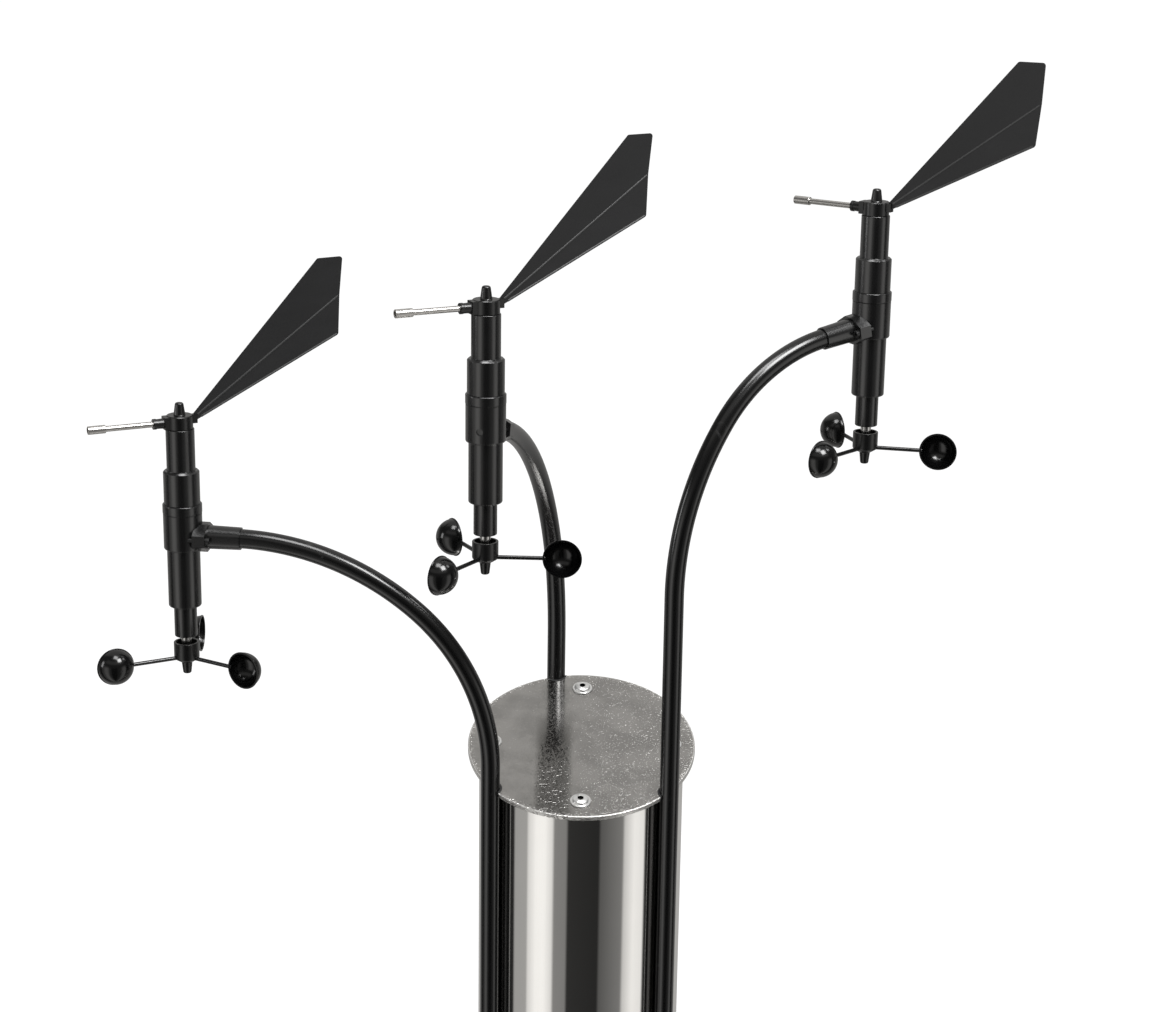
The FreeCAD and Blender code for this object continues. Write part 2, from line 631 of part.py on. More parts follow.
def build_arm_tube(name):
    """Bent tube: upright beside the column, two tangent bends, then straight into its socket."""
    reach, bearing = arm_bearing(name)
    slope = math.radians(size(name + "_arm_slope"))
    bend = math.radians(size(name + "_bend_angle"))
    first_r = size(name + "_bend_r")
    straight = size("arm_straight")
    tip_gap = size("sleeve_stop")
    across = reach - first_r * (1 - math.cos(bend)) - straight * math.cos(slope)
    second_r = across / (math.cos(bend) - math.sin(slope))
    foot = size("tube_foot")
    top = head_base(name)[2] + size("arm_height") - foot
    rise = (top - first_r * math.sin(bend) - second_r * (math.cos(slope) - math.sin(bend))
            - straight * math.sin(slope))
    body = new_body(name + "_arm_tube")
    spine = new_sketch(body, "route", "XZ_Plane")
    knee = vec(first_r * (1 - math.cos(bend)), rise + first_r * math.sin(bend), 0)
    neck_x = knee.x + second_r * (math.cos(bend) - math.sin(slope))
    neck_z = knee.y + second_r * (math.cos(slope) - math.sin(bend))
    end = vec(reach - tip_gap * math.cos(slope), top - tip_gap * math.sin(slope), 0)
    first_mid = vec(first_r, rise, 0)
    second_mid = knee + vec(second_r * math.cos(bend), -second_r * math.sin(bend), 0)
    first_arc = Part.ArcOfCircle(Part.Circle(first_mid, vec(0, 0, 1), first_r),
                                 math.pi - bend, math.pi)
    second_arc = Part.ArcOfCircle(Part.Circle(second_mid, vec(0, 0, 1), second_r),
                                  math.pi / 2 + slope, math.pi - bend)
    for piece in (Part.LineSegment(vec(0, 0, 0), vec(0, rise, 0)), first_arc, second_arc,
                  Part.LineSegment(vec(neck_x, neck_z, 0), end)):
        spine.addGeometry(piece, False)
    spine.addConstraint(Sketcher.Constraint("Coincident", 0, 1, -1, 1))
    spine.addConstraint(Sketcher.Constraint("Vertical", 0))
    spine.addConstraint(Sketcher.Constraint("Tangent", 0, 2, 1, 2))
    spine.addConstraint(Sketcher.Constraint("Tangent", 1, 1, 2, 2))
    spine.addConstraint(Sketcher.Constraint("Tangent", 2, 1, 3, 1))
    index = spine.addConstraint(Sketcher.Constraint("Radius", 1, first_r))
    spine.setExpression("Constraints[%d]" % index, bound(name + "_bend_r"))
    index = spine.addConstraint(Sketcher.Constraint("Distance", 3, straight - tip_gap))
    spine.setExpression("Constraints[%d]" % index, bound("arm_straight - sleeve_stop"))
    for kind, value in (("DistanceX", end.x), ("DistanceY", end.y)):
        spine.addConstraint(Sketcher.Constraint(kind, -1, 1, 3, 2, value))
    spine.addConstraint(Sketcher.Constraint("DistanceY", 0, 1, 0, 2, rise))
    ring = new_sketch(body, "section", "XY_Plane")
    for number, text in enumerate(("tube_r", "tube_r - tube_wall")):
        ring.addGeometry(Part.Circle(vec(0, 0, 0), vec(0, 0, 1), value_of(text)), False)
        ring.addConstraint(Sketcher.Constraint("Coincident", number, 3, -1, 1))
        index = ring.addConstraint(Sketcher.Constraint("Radius", number, value_of(text)))
        ring.setExpression("Constraints[%d]" % index, bound(text))
    pipe = body.newObject("PartDesign::AdditivePipe", "swept")
    pipe.Profile = ring
    pipe.Spine = (spine, [])
    body.Tip = pipe
    place = tube_foot_place(name, foot)
    place.Rotation = FreeCAD.Rotation(vec(0, 0, 1), bearing + 180.0)
    node(name + "_arm_tube", body, place)
    doc.recompute()
    second_bend = math.pi / 2 - slope - bend
    run = rise + first_r * bend + second_r * second_bend + straight - tip_gap
    area = math.pi * (size("tube_r") ** 2 - (size("tube_r") - size("tube_wall")) ** 2)
    print("%s arm tube: bends %.0f and %.0f, length %.0f, volume %.0f of %.0f" % (
        name, first_r, second_r, run, body.Shape.Volume, run * area))


def saddle_screw_places(name):
    """The two screws of a head's arm socket, heads on the saddle's outer face."""
    axis = arm_axis(name)
    return [axis.multiply(turn(AXIS_Z, 0, (0, side * size("saddle_screw_off"),
                                           size("saddle_out")))) for side in (-1, 1)]


def build_arm_socket(name):
    """Saddle flange on the centre housing with a sleeve that takes the tube's end."""
    axis = arm_axis(name)
    blank = new_body(name + "_saddle")
    sketch = new_sketch(blank, "rhomb", "XY_Plane")
    outline(sketch, [
        ("saddle_half_high", "-saddle_mid_half"), ("saddle_half_high", "saddle_mid_half"),
        ("saddle_mid_half", "saddle_half_width"), ("-saddle_mid_half", "saddle_half_width"),
        ("-saddle_half_high", "saddle_mid_half"), ("-saddle_half_high", "-saddle_mid_half"),
        ("-saddle_mid_half", "-saddle_half_width"), ("saddle_mid_half", "-saddle_half_width"),
    ])
    pad = blank.newObject("PartDesign::Pad", "block")
    pad.Profile = sketch
    pad.setExpression("Length", bound("saddle_thick"))
    blank.Tip = pad
    blank.Placement = axis.multiply(turn(AXIS_Z, 0, (0, 0, size("saddle_in"))))
    sleeve = primitive("Cone", name + "_sleeve", axis, Radius1="sleeve_root_r",
                       Radius2="sleeve_tip_r", Height="sleeve_end")
    housing = primitive("Cylinder", name + "_saddle_seat", head_place(name, 0),
                        Radius="centre_r + seat_gap", Height="neck_top")
    nipple = primitive("Cylinder", name + "_nipple",
                       axis.multiply(turn(AXIS_Z, 0, (0, 0, size("nipple_in")))),
                       Radius="nipple_r", Height="saddle_out - nipple_in")
    wires = primitive("Cylinder", name + "_wire_way", axis, Radius="nipple_bore_r",
                      Height="sleeve_end + cut_over")
    seat = primitive("Cylinder", name + "_tube_seat",
                     axis.multiply(turn(AXIS_Z, 0, (0, 0, size("sleeve_stop")))),
                     Radius="tube_r + tube_fit", Height="sleeve_end")
    block = cut(name + "_saddled", joined(name + "_socket_blank", [blank, sleeve]), [housing])
    body = joined(name + "_socket_body", [block, nipple])
    holes = screw_holes(name + "_saddle_hole", saddle_screw_places(name))
    node(name + "_arm_socket", cut(name + "_arm_socket", body, [wires, seat] + holes))


# ---------------------------------------------------------------- housings, bearings, boards

def build_housings(name):
    """Upper, centre and lower housings of one head."""
    _, bearing = arm_bearing(name)
    place = head_place(name, bearing)
    upper = turned(name + "_upper_turned", [
        ("vane_bearing_r + bearing_seat_gap", "shoulder - housing_wall"),
        ("upper_inner_r - spigot_wall", "shoulder - housing_wall"),
        ("upper_inner_r - spigot_wall", "collar_bottom - spigot_deep"),
        ("upper_inner_r", "collar_bottom - spigot_deep"),
        ("upper_inner_r", "collar_top"),
        ("upper_r", "collar_top"),
        ("upper_r", "shoulder"),
        ("neck_r", "shoulder"),
        ("neck_r", "neck_top"),
        ("vane_bearing_r + bearing_seat_gap", "neck_top"),
    ], [("Chamfer", "upper_r", "shoulder", "shoulder_chamfer"),
        ("Chamfer", "neck_r", "neck_top", "neck_edge")])
    node(name + "_upper_housing", upper, place)
    centre = turned(name + "_centre_turned", [
        ("lower_inner_r + joint_gap", "centre_bottom"),
        ("centre_r", "centre_bottom"),
        ("centre_r", "collar_bottom"),
        ("upper_inner_r + joint_gap", "collar_bottom"),
        ("upper_inner_r + joint_gap", "board_level"),
        ("upper_inner_r - board_ledge", "board_level"),
        ("upper_inner_r - board_ledge", "centre_bottom + lower_spigot_high + joint_gap"),
        ("lower_inner_r + joint_gap", "centre_bottom + lower_spigot_high + joint_gap"),
    ], [("Fillet", "centre_r", "centre_bottom", "edge_round")])
    centre.Placement = place
    hole = primitive("Cylinder", name + "_arm_hole", arm_axis(name),
                     Radius="nipple_r + joint_gap", Height="sleeve_end")
    access = primitive("Cylinder", name + "_access", place.multiply(turn(
        AXIS_Y, -90.0, (size("access_deep") - size("centre_r"), 0, size("arm_height")))),
        Radius="access_r", Height="centre_r")
    holes = screw_holes(name + "_housing_hole", saddle_screw_places(name))
    node(name + "_centre_housing",
         cut(name + "_centre_housing", centre, [hole, access] + holes))
    lower = turned(name + "_lower_turned", [
        ("cup_bearing_r + bearing_seat_gap", "lower_neck_bottom"),
        ("lower_neck_r", "lower_neck_bottom"),
        ("lower_neck_r", "lower_bottom"),
        ("lower_r", "lower_bottom"),
        ("lower_r", "centre_bottom"),
        ("lower_inner_r", "centre_bottom"),
        ("lower_inner_r", "centre_bottom + lower_spigot_high"),
        ("lower_inner_r - spigot_wall", "centre_bottom + lower_spigot_high"),
        ("lower_inner_r - spigot_wall", "lower_bottom + spigot_deep"),
        ("cup_bearing_r + bearing_seat_gap", "lower_bottom + spigot_deep"),
    ], [("Fillet", "lower_r", "lower_bottom", "edge_round"),
        ("Chamfer", "lower_neck_r", "lower_neck_bottom", "neck_edge")])
    node(name + "_lower_housing", lower, place)


def build_shared_rings():
    """Pieces that are the same in every head and never turn: rings, bearings and boards."""
    collar = turned("collar_ring", [
        ("upper_inner_r + joint_gap", "collar_bottom"),
        ("collar_r", "collar_bottom"),
        ("collar_r", "collar_top"),
        ("upper_inner_r + joint_gap", "collar_top"),
    ], [("Chamfer", "collar_r", "collar_top", "plate_edge")])
    board = turned("sensor_board", [
        ("board_hole_r", "board_level"),
        ("upper_inner_r - joint_gap", "board_level"),
        ("upper_inner_r - joint_gap", "board_level + board_thick"),
        ("board_hole_r", "board_level + board_thick"),
    ])
    rings = {"collar_rings": [collar], "sensor_boards": [board]}
    for which, label in (("vane", "vane_bearings"), ("cup", "cup_bearings")):
        rings[label] = []
        for level in ("low", "high"):
            bottom = "%s_bearing_%s" % (which, level)
            rings[label].append(turned("%s_bearing_%s_ring" % (which, level), [
                (which + "_spindle_r", bottom),
                (which + "_bearing_r", bottom),
                (which + "_bearing_r", "%s + %s_bearing_wide" % (bottom, which)),
                (which + "_spindle_r", "%s + %s_bearing_wide" % (bottom, which)),
            ]))
    places = [head_place(name, 0) for name in HEADS]
    for label, sources in rings.items():
        groups = [group_of(label + "_%d" % i, source, places)
                  for i, source in enumerate(sources)]
        links = [link for group in groups for link in group.Links]
        groups[0].Links = links
        for spare in groups[1:]:
            doc.removeObject(spare.Name)
        node(label, groups[0])


# ---------------------------------------------------------------- wind vane

def build_vane(name):
    """Everything that turns with a head's wind vane; +X runs along the blade."""
    place = head_place(name, size(name + "_vane_angle"))
    hub = turned(name + "_hub_turned", [
        ("vane_spindle_r", "hub_bottom"),
        ("hub_r", "hub_bottom"),
        ("hub_r", "hub_top"),
        ("vane_spindle_r", "hub_top"),
    ], [("Chamfer", "hub_r", "hub_top", "hub_edge")])
    rod_level = size("rod_height")
    out = turn(AXIS_Y, -90.0, (0, 0, rod_level))
    boss = primitive("Box", name + "_boss", turn(AXIS_Z, 0, (
        -size("boss_reach"), -size("boss_half_wide"), size("hub_bottom"))),
        Length="boss_reach - vane_spindle_r - hub_edge", Width="boss_half_wide * 2",
        Height="hub_high - boss_top_gap")
    ferrule = primitive("Cone", name + "_ferrule", out, Radius1="ferrule_root_r",
                        Radius2="ferrule_tip_r", Height="ferrule_reach")
    ring = primitive("Cylinder", name + "_ferrule_ring", turn(
        AXIS_Y, -90.0, (size("ferrule_ring_long") - size("ferrule_reach"), 0, rod_level)),
        Radius="ferrule_ring_r", Height="ferrule_ring_long")
    lug = primitive("Box", name + "_lug", turn(AXIS_Z, 0, (
        size("vane_spindle_r") + size("hub_edge"), -size("lug_half_wide"),
        size("blade_root_low") - size("lug_lip"))),
        Length="lug_reach - vane_spindle_r - hub_edge", Width="lug_half_wide * 2",
        Height="lug_high")
    bore = primitive("Cylinder", name + "_hub_bore", Radius="vane_spindle_r",
                     Height="hub_top + cut_over")
    rod_hole = primitive("Cylinder", name + "_rod_hole", turn(
        AXIS_Y, -90.0, (-size("rod_in"), 0, rod_level)),
        Radius="rod_r + spoke_fit", Height="rod_reach")
    slot = primitive("Box", name + "_blade_slot", turn(AXIS_Z, 0, (
        size("blade_root_x") - size("blade_fit"), -size("blade_thick") / 2 - size("blade_fit"),
        size("neck_top"))),
        Length="blade_tail_x", Width="blade_thick + blade_fit * 2", Height="hub_high + cut_over")
    solid = joined(name + "_hub_blank", [hub, boss, ferrule, ring, lug])
    node(name + "_vane_hub", cut(name + "_vane_hub", solid, [bore, rod_hole, slot]), place)

    cap = turned(name + "_vane_cap", [
        ("stud_r + spoke_fit", "hub_top"),
        ("cap_base_r", "hub_top"),
        ("cap_tip_r", "hub_top + cap_high"),
        ("0", "hub_top + cap_high"),
        ("0", "hub_top + stud_high + spoke_fit"),
        ("stud_r + spoke_fit", "hub_top + stud_high + spoke_fit"),
    ], [("Fillet", "cap_tip_r", "hub_top + cap_high", "cap_round")])
    node(name + "_vane_cap", cap, place)

    rod = primitive("Cylinder", name + "_vane_rod", Radius="rod_r", Height="rod_reach - rod_in")
    node(name + "_vane_rod", rod, place.multiply(turn(
        AXIS_Y, -90.0, (-size("rod_in"), 0, rod_level))))

    weight = turned(name + "_vane_counterweight", [
        ("rod_r + spoke_fit", "rod_reach + weight_lip - weight_long"),
        ("weight_r", "rod_reach + weight_lip - weight_long"),
        ("weight_r", "rod_reach + weight_lip"),
        ("weight_socket_r", "rod_reach + weight_lip"),
        ("weight_socket_r", "rod_reach"),
        ("rod_r + spoke_fit", "rod_reach"),
    ], [("Chamfer", "weight_r", "rod_reach + weight_lip", "plate_edge"),
        ("Chamfer", "weight_r", "rod_reach + weight_lip - weight_long", "plate_edge")])
    node(name + "_vane_counterweight", weight, place.multiply(out))

    spindle = turned(name + "_vane_spindle", [
        ("0", "vane_magnet_low + magnet_thick"),
        ("vane_spindle_r - run_gap", "vane_magnet_low + magnet_thick"),
        ("vane_spindle_r - run_gap", "hub_top"),
        ("stud_r", "hub_top"),
        ("stud_r", "hub_top + stud_high"),
        ("0", "hub_top + stud_high"),
    ])
    magnet = round_bar(name + "_vane_magnet", "magnet_r", "vane_magnet_low", "magnet_thick")
    shaft = doc.addObject("Part::Compound", name + "_vane_shaft")
    shaft.Links = [spindle, magnet]
    node(name + "_vane_shaft", shaft, place)
    build_blade(name, place)


def build_blade(name, place):
    """Folded tail plate: two flat panels that meet along a crease from root to tail edge."""
    root_mid = "(blade_root_low + blade_root_top) / 2"
    crease = [("blade_root_x", root_mid), ("blade_crease_x", "blade_crease_z")]
    panels = {
        "upper": [crease[0], crease[1], ("blade_tail_x", "blade_tail_z"),
                  ("blade_top_x", "blade_top_z"), ("blade_root_x", "blade_root_top")],
        "lower": [crease[0], ("blade_root_x", "blade_root_low"),
                  ("blade_foot_x", "blade_foot_z"), crease[1]],
    }
    start = vec(value_of(crease[0][0]), 0, value_of(crease[0][1]))
    along = vec(size("blade_crease_x"), 0, size("blade_crease_z")) - start
    along.normalize()
    upward = vec(-along.z, 0, along.x)
    lean = size("blade_fold")
    thick = vec(0, size("blade_thick"), 0)
    solids = []
    for corners in panels.values():
        wire = []
        for a, b in corners:
            point = vec(value_of(a), 0, value_of(b))
            away = abs((point - start).dot(upward))
            sag = lean * away if a != "blade_root_x" else 0.0
            wire.append(point + vec(0, -size("blade_thick") / 2 - sag, 0))
        face = Part.makeFilledFace(Part.makePolygon(wire + wire[:1]).Edges)
        solids.append(face.extrude(thick))
    plate = solids[0].fuse(solids[1]).removeSplitter()
    rounded = []
    for edge in plate.Edges:
        place_of = edge.Vertexes[0].Point
        at_root = abs(place_of.x - size("blade_root_x")) < CLOSE
        at_crease = abs(place_of.z - size("blade_crease_z")) < CLOSE
        if abs(edge.Length - size("blade_thick")) < CLOSE and not at_root and not at_crease:
            rounded.append(edge)
    plate = plate.makeFillet(size("blade_corner_r"), rounded)
    blade = doc.addObject("Part::Feature", name + "_vane_blade")
    blade.Shape = plate
    node(name + "_vane_blade", blade, place)


# ---------------------------------------------------------------- cup rotor

def cup_turns():
    """Angles of the cups about the rotor's axis."""
    count = int(size("cup_count"))
    return [360.0 * i / count for i in range(count)]


def one_cup():
    """Hemispherical cup on the +X spoke, with its mouth towards -Y."""
    outer = primitive("Sphere", "cup_outer", Radius="cup_r")
    lip = primitive("Cylinder", "cup_lip", Radius="cup_lip_r", Height="cup_lip_thick")
    nub = primitive("Cone", "cup_nub", Radius1="cup_nub_r", Radius2="cup_nub_tip_r",
                    Height="cup_r + cup_nub_high")
    inner = primitive("Sphere", "cup_inner", Radius="cup_r - cup_wall")
    side = "(cup_lip_r + cut_over) * 2"
    mouth = primitive("Box", "cup_mouth", Length=side, Width=side, Height=side)
    for axis in ("x", "y"):
        mouth.setExpression("Placement.Base." + axis, bound("-cup_lip_r - cut_over"))
    mouth.setExpression("Placement.Base.z", bound("-" + side))
    solid = joined("cup_blank", [outer, lip, nub])
    shell = cut("cup_shell", solid, [inner, mouth])
    shell.Placement = turn(AXIS_X, -90.0, (size("cup_circle_r"), -size("cup_mouth_off"), 0))
    spoke = primitive("Cylinder", "cup_spoke_hole", turn(AXIS_Y, 90.0),
                      Radius="spoke_r + spoke_fit", Height="cup_circle_r")
    return cut("one_cup", shell, [spoke])


def build_rotor(name, cup):
    """Everything that turns with a head's cups."""
    place = head_place(name, size(name + "_cup_angle"))
    hub = turned(name + "_cup_hub_turned", [
        ("cup_spindle_r", "-cup_hub_low"),
        ("cup_hub_low_r", "-cup_hub_low"),
        ("cup_hub_r", "-cup_hub_straight"),
        ("cup_hub_r", "cup_hub_top"),
        ("cup_hub_recess_r", "cup_hub_top"),
        ("cup_hub_recess_r", "cup_hub_floor"),
        ("cup_spindle_r", "cup_hub_floor"),
    ])
    holes = [primitive("Cylinder", name + "_spoke_hole",
                       turn(AXIS_Z, angle).multiply(turn(AXIS_Y, 90.0, (size("spoke_in"), 0, 0))),
                       Radius="spoke_r + spoke_fit", Height="cup_hub_r") for angle in cup_turns()]
    node(name + "_cup_hub", cut(name + "_cup_hub", hub, holes), place)

    reach = "cup_circle_r - sqrt((cup_r - cup_wall) ^ 2 - cup_mouth_off ^ 2)"
    spoke = primitive("Cylinder", name + "_spoke", turn(AXIS_Y, 90.0),
                      Radius="spoke_r", Height=reach + " + spoke_through - spoke_in")
    spoke.setExpression("Placement.Base.x", bound("spoke_in"))
    turns = [turn(AXIS_Z, angle) for angle in cup_turns()]
    doc.recompute()
    spoke_place = spoke.Placement
    spokes = group_of(name + "_cup_spokes", spoke, [t.multiply(spoke_place) for t in turns])
    node(name + "_cup_spokes", spokes, place)
    cups = group_of(name + "_cups", cup, turns)
    node(name + "_cups", cups, place)

    nose = turned(name + "_cup_nose", [
        ("0", "-cup_hub_low - nose_long"),
        ("nose_tip_r", "-cup_hub_low - nose_long"),
        ("nose_r", "-cup_hub_low"),
        ("stud_r", "-cup_hub_low"),
        ("stud_r", "-cup_hub_straight"),
        ("0", "-cup_hub_straight"),
    ], [("Fillet", "nose_tip_r", "-cup_hub_low - nose_long", "nose_round")])
    node(name + "_cup_nose", nose, place)

    spindle = turned(name + "_cup_spindle", [
        ("0", "0"),
        ("cup_spindle_r - run_gap", "0"),
        ("cup_spindle_r - run_gap", "cup_hub_floor"),
        ("shaft_collar_r", "cup_hub_floor"),
        ("shaft_collar_r", "lower_neck_bottom - turning_gap"),
        ("cup_spindle_r - run_gap", "lower_neck_bottom - turning_gap"),
        ("cup_spindle_r - run_gap", "cup_magnet_low"),
        ("0", "cup_magnet_low"),
    ])
    magnet = round_bar(name + "_cup_magnet", "magnet_r", "cup_magnet_low", "magnet_thick")
    shaft = doc.addObject("Part::Compound", name + "_cup_shaft")
    shaft.Links = [spindle, magnet]
    node(name + "_cup_shaft", shaft, place)


# ---------------------------------------------------------------- the whole station

def build_station():
    build_column()
    build_base_flange()
    build_cap_plate()
    build_grommets()
    build_support_ring()
    build_clamps()
    seat = [tilted(place) for place in screw_places(0.0)]
    node("cap_screws", group_of("cap_screws", cap_screw(), seat))
    build_shared_rings()
    screws = clamp_screw_places()
    for name in HEADS:
        screws += saddle_screw_places(name)
    node("socket_screws", group_of("socket_screws", small_screw(), screws))
    cup = one_cup()
    for name in HEADS:
        build_arm_tube(name)
        build_arm_socket(name)
        build_housings(name)
        build_vane(name)
        build_rotor(name, cup)


def export_nodes():
    """Check every object and every piece, then write one STEP file per node."""
    doc.recompute()
    failed = [thing.Label for thing in doc.Objects
              if "Invalid" in thing.State or "Error" in thing.State]
    if failed:
        raise RuntimeError("objects failed: " + ", ".join(failed))
    for thing in NODES:
        shape = thing.Shape
        if shape.isNull() or not shape.isValid() or not shape.Solids:
            raise RuntimeError("bad shape: " + thing.Label)
    os.makedirs(OUT_DIR, exist_ok=True)
    for thing in NODES:
        thing.Shape.exportStep(os.path.join(OUT_DIR, thing.Label + ".step"))
    print("%d nodes, %d solids" % (len(NODES), sum(len(t.Shape.Solids) for t in NODES)))


build_station()
export_nodes()
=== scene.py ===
"""Looks of the wind sensor station: every visible piece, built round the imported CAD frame.

Metres, +Z up, in the CAD's own frame. A head's levels are measured from the middle of its cup
spokes, and where each head stands comes from the frame's joints.
"""
import json
import logging
import math
from dataclasses import dataclass, field
from enum import Enum
from typing import Optional, Sequence, Union

import bmesh
import bpy
from mathutils import Matrix, Vector


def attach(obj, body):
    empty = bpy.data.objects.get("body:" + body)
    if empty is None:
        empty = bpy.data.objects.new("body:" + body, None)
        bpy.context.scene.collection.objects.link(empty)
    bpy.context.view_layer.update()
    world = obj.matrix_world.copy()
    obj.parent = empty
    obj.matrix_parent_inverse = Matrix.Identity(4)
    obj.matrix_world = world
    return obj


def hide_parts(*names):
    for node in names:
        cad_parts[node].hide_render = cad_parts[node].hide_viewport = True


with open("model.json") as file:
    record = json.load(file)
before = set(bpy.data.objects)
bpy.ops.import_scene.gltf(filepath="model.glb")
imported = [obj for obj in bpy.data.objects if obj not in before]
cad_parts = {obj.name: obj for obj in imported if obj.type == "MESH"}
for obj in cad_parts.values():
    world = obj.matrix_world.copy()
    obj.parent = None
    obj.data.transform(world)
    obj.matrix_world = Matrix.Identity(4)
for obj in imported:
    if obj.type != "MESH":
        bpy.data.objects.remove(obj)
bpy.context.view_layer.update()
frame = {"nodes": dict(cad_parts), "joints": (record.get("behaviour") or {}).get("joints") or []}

LOG = logging.getLogger("station")

Corner = tuple[float, float, float]
Colour = tuple[float, float, float]
Number = Union[float, "Wire"]

MERGE = 1e-6
SHARP_ANGLE = math.radians(34.0)
TURN_STEPS = 96
SMALL_TURN_STEPS = 48


def joint_place(joint: str) -> Vector:
    """Where one of the frame's joints is."""
    return next(Vector(row["pos_m"]) for row in frame["joints"] if row["name"] == joint)


# The cap plate's middle, its slope towards -Y in degrees, and the circle that its screws stand on.
LEFT_HEAD_ABOVE_PLATE = 0.1079
PLATE_LEVEL = joint_place("left_cup_spin").z - LEFT_HEAD_ABOVE_PLATE
PLATE_TILT = 17.3
PLATE_SCREW_CIRCLE_R = 0.0964


# ------------------------------------------------------------------ shader maths

class Wire:
    """One output socket of a shader tree, with arithmetic that adds Math nodes."""

    def __init__(self, shader: "Shader", socket: bpy.types.NodeSocket) -> None:
        """Keep the socket and the shader that owns it."""
        self.shader = shader
        self.socket = socket

    def _math(self, operation: str, first: Number, second: Number) -> "Wire":
        """Add one Math node."""
        return self.shader.node("ShaderNodeMath", {"operation": operation}, {0: first, 1: second})

    def __add__(self, other: Number) -> "Wire":
        """Sum."""
        return self._math("ADD", self, other)

    def __radd__(self, other: Number) -> "Wire":
        """Sum with a number on the left."""
        return self._math("ADD", other, self)

    def __sub__(self, other: Number) -> "Wire":
        """Difference."""
        return self._math("SUBTRACT", self, other)

    def __rsub__(self, other: Number) -> "Wire":
        """Difference with a number on the left."""
        return self._math("SUBTRACT", other, self)

    def __mul__(self, other: Number) -> "Wire":
        """Product."""
        return self._math("MULTIPLY", self, other)

    def __rmul__(self, other: Number) -> "Wire":
        """Product with a number on the left."""
        return self._math("MULTIPLY", other, self)

    def larger(self, other: Number) -> "Wire":
        """The larger of two values."""
        return self._math("MAXIMUM", self, other)

    def root(self) -> "Wire":
        """Square root."""
        return self._math("SQRT", self, 0.0)

    def below(self, level: float) -> "Wire":
        """One where the value is below a level, otherwise zero."""
        return self._math("LESS_THAN", self, level)

    def between(self, low: float, high: float) -> "Wire":
        """Zero at the low value, rising smoothly to one at the high value."""
        return self.shader.node("ShaderNodeMapRange", {"interpolation_type": "SMOOTHSTEP"},
                                {"Value": self, "From Min": low, "From Max": high})


class Shader:
    """A node tree under construction, for a material or for the world."""

    def __init__(self, tree: bpy.types.NodeTree) -> None:
        """Empty the tree."""
        self.tree = tree
        self.tree.nodes.clear()

    def node(self, kind: str, settings: Optional[dict] = None, inputs: Optional[dict] = None,
             output: Union[int, str] = 0) -> Wire:
        """Add any node.

        Args:
            kind: the node's type.
            settings: its own properties, set before its sockets; "stops" fills a ramp.
            inputs: values or wires by socket name or number.
            output: which output is returned.

        Returns:
            The chosen output as a wire.
        """
        node = self.tree.nodes.new(kind)
        for key, value in (settings or {}).items():
            if key == "stops":
                self._fill_ramp(node.color_ramp, value)
            else:
                setattr(node, key, value)
        for key, value in (inputs or {}).items():
            if isinstance(value, Wire):
                self.tree.links.new(value.socket, node.inputs[key])
            else:
                node.inputs[key].default_value = value
        return Wire(self, node.outputs[output]) if len(node.outputs) else None

    @staticmethod
    def _fill_ramp(ramp: bpy.types.ColorRamp, stops: Sequence[tuple[float, Colour]]) -> None:
        """Give a colour ramp its stops.

        Args:
            ramp: the ramp.
            stops: (place, colour) of each stop, in order.
        """
        while len(ramp.elements) < len(stops):
            ramp.elements.new(1.0)
        for element, (place, colour) in zip(ramp.elements, stops):
            element.position = place
            element.color = (*colour, 1.0)

    def coordinates(self, scale: Vector = Vector((1.0, 1.0, 1.0)),
                    turn: float = 0.0) -> Wire:
        """Object coordinates, stretched and turned about Z.

        Args:
            scale: stretch along each axis.
            turn: angle about Z, in radians.

        Returns:
            The coordinates as a vector wire.
        """
        place = self.node("ShaderNodeTexCoord", output="Object")
        return self.node("ShaderNodeMapping", None,
                         {"Vector": place, "Scale": scale, "Rotation": (0.0, 0.0, turn)})

    def noise(self, where: Wire, scale: float, detail: float = 3.0,
              distortion: float = 0.0) -> Wire:
        """Soft noise between zero and one."""
        return self.node("ShaderNodeTexNoise", None, {
            "Vector": where, "Scale": scale, "Detail": detail, "Distortion": distortion})

    def blend(self, share: Number, first: Colour, second: Colour) -> Wire:
        """A colour between two colours."""
        return self.node("ShaderNodeMix", {"data_type": "RGBA"}, {
            0: share, 6: (*first, 1.0), 7: (*second, 1.0)}, output=2)

    def bump(self, height: Wire, distance: float, strength: float = 1.0) -> Wire:
        """A normal from a height in metres times a distance."""
        return self.node("ShaderNodeBump", None, {
            "Height": height, "Distance": distance, "Strength": strength})


@dataclass(frozen=True)
class Finish:
    """A surface finish. Each kind of finish sets up its own nodes in dress()."""

    name: str
    base: Colour
    roughness: float
    metallic: float = 0.0
    specular: float = 0.5

    def material(self) -> bpy.types.Material:
        """The finish as a material, made once.

        Returns:
            The material that every piece with this finish shares.
        """
        found = bpy.data.materials.get(self.name)
        if found:
            return found
        material = bpy.data.materials.new(self.name)
        material.use_nodes = True
        shader = Shader(material.node_tree)
        inputs = {"Base Color": (*self.base, 1.0), "Roughness": self.roughness,
                  "Metallic": self.metallic, "Specular IOR Level": self.specular}
        inputs.update(self.dress(shader))
        surface = shader.node("ShaderNodeBsdfPrincipled", None, inputs)
        shader.node("ShaderNodeOutputMaterial", None, {"Surface": surface})
        return material

    def dress(self, shader: Shader) -> dict:
        """The sockets that this finish varies over the surface."""
        raise NotImplementedError


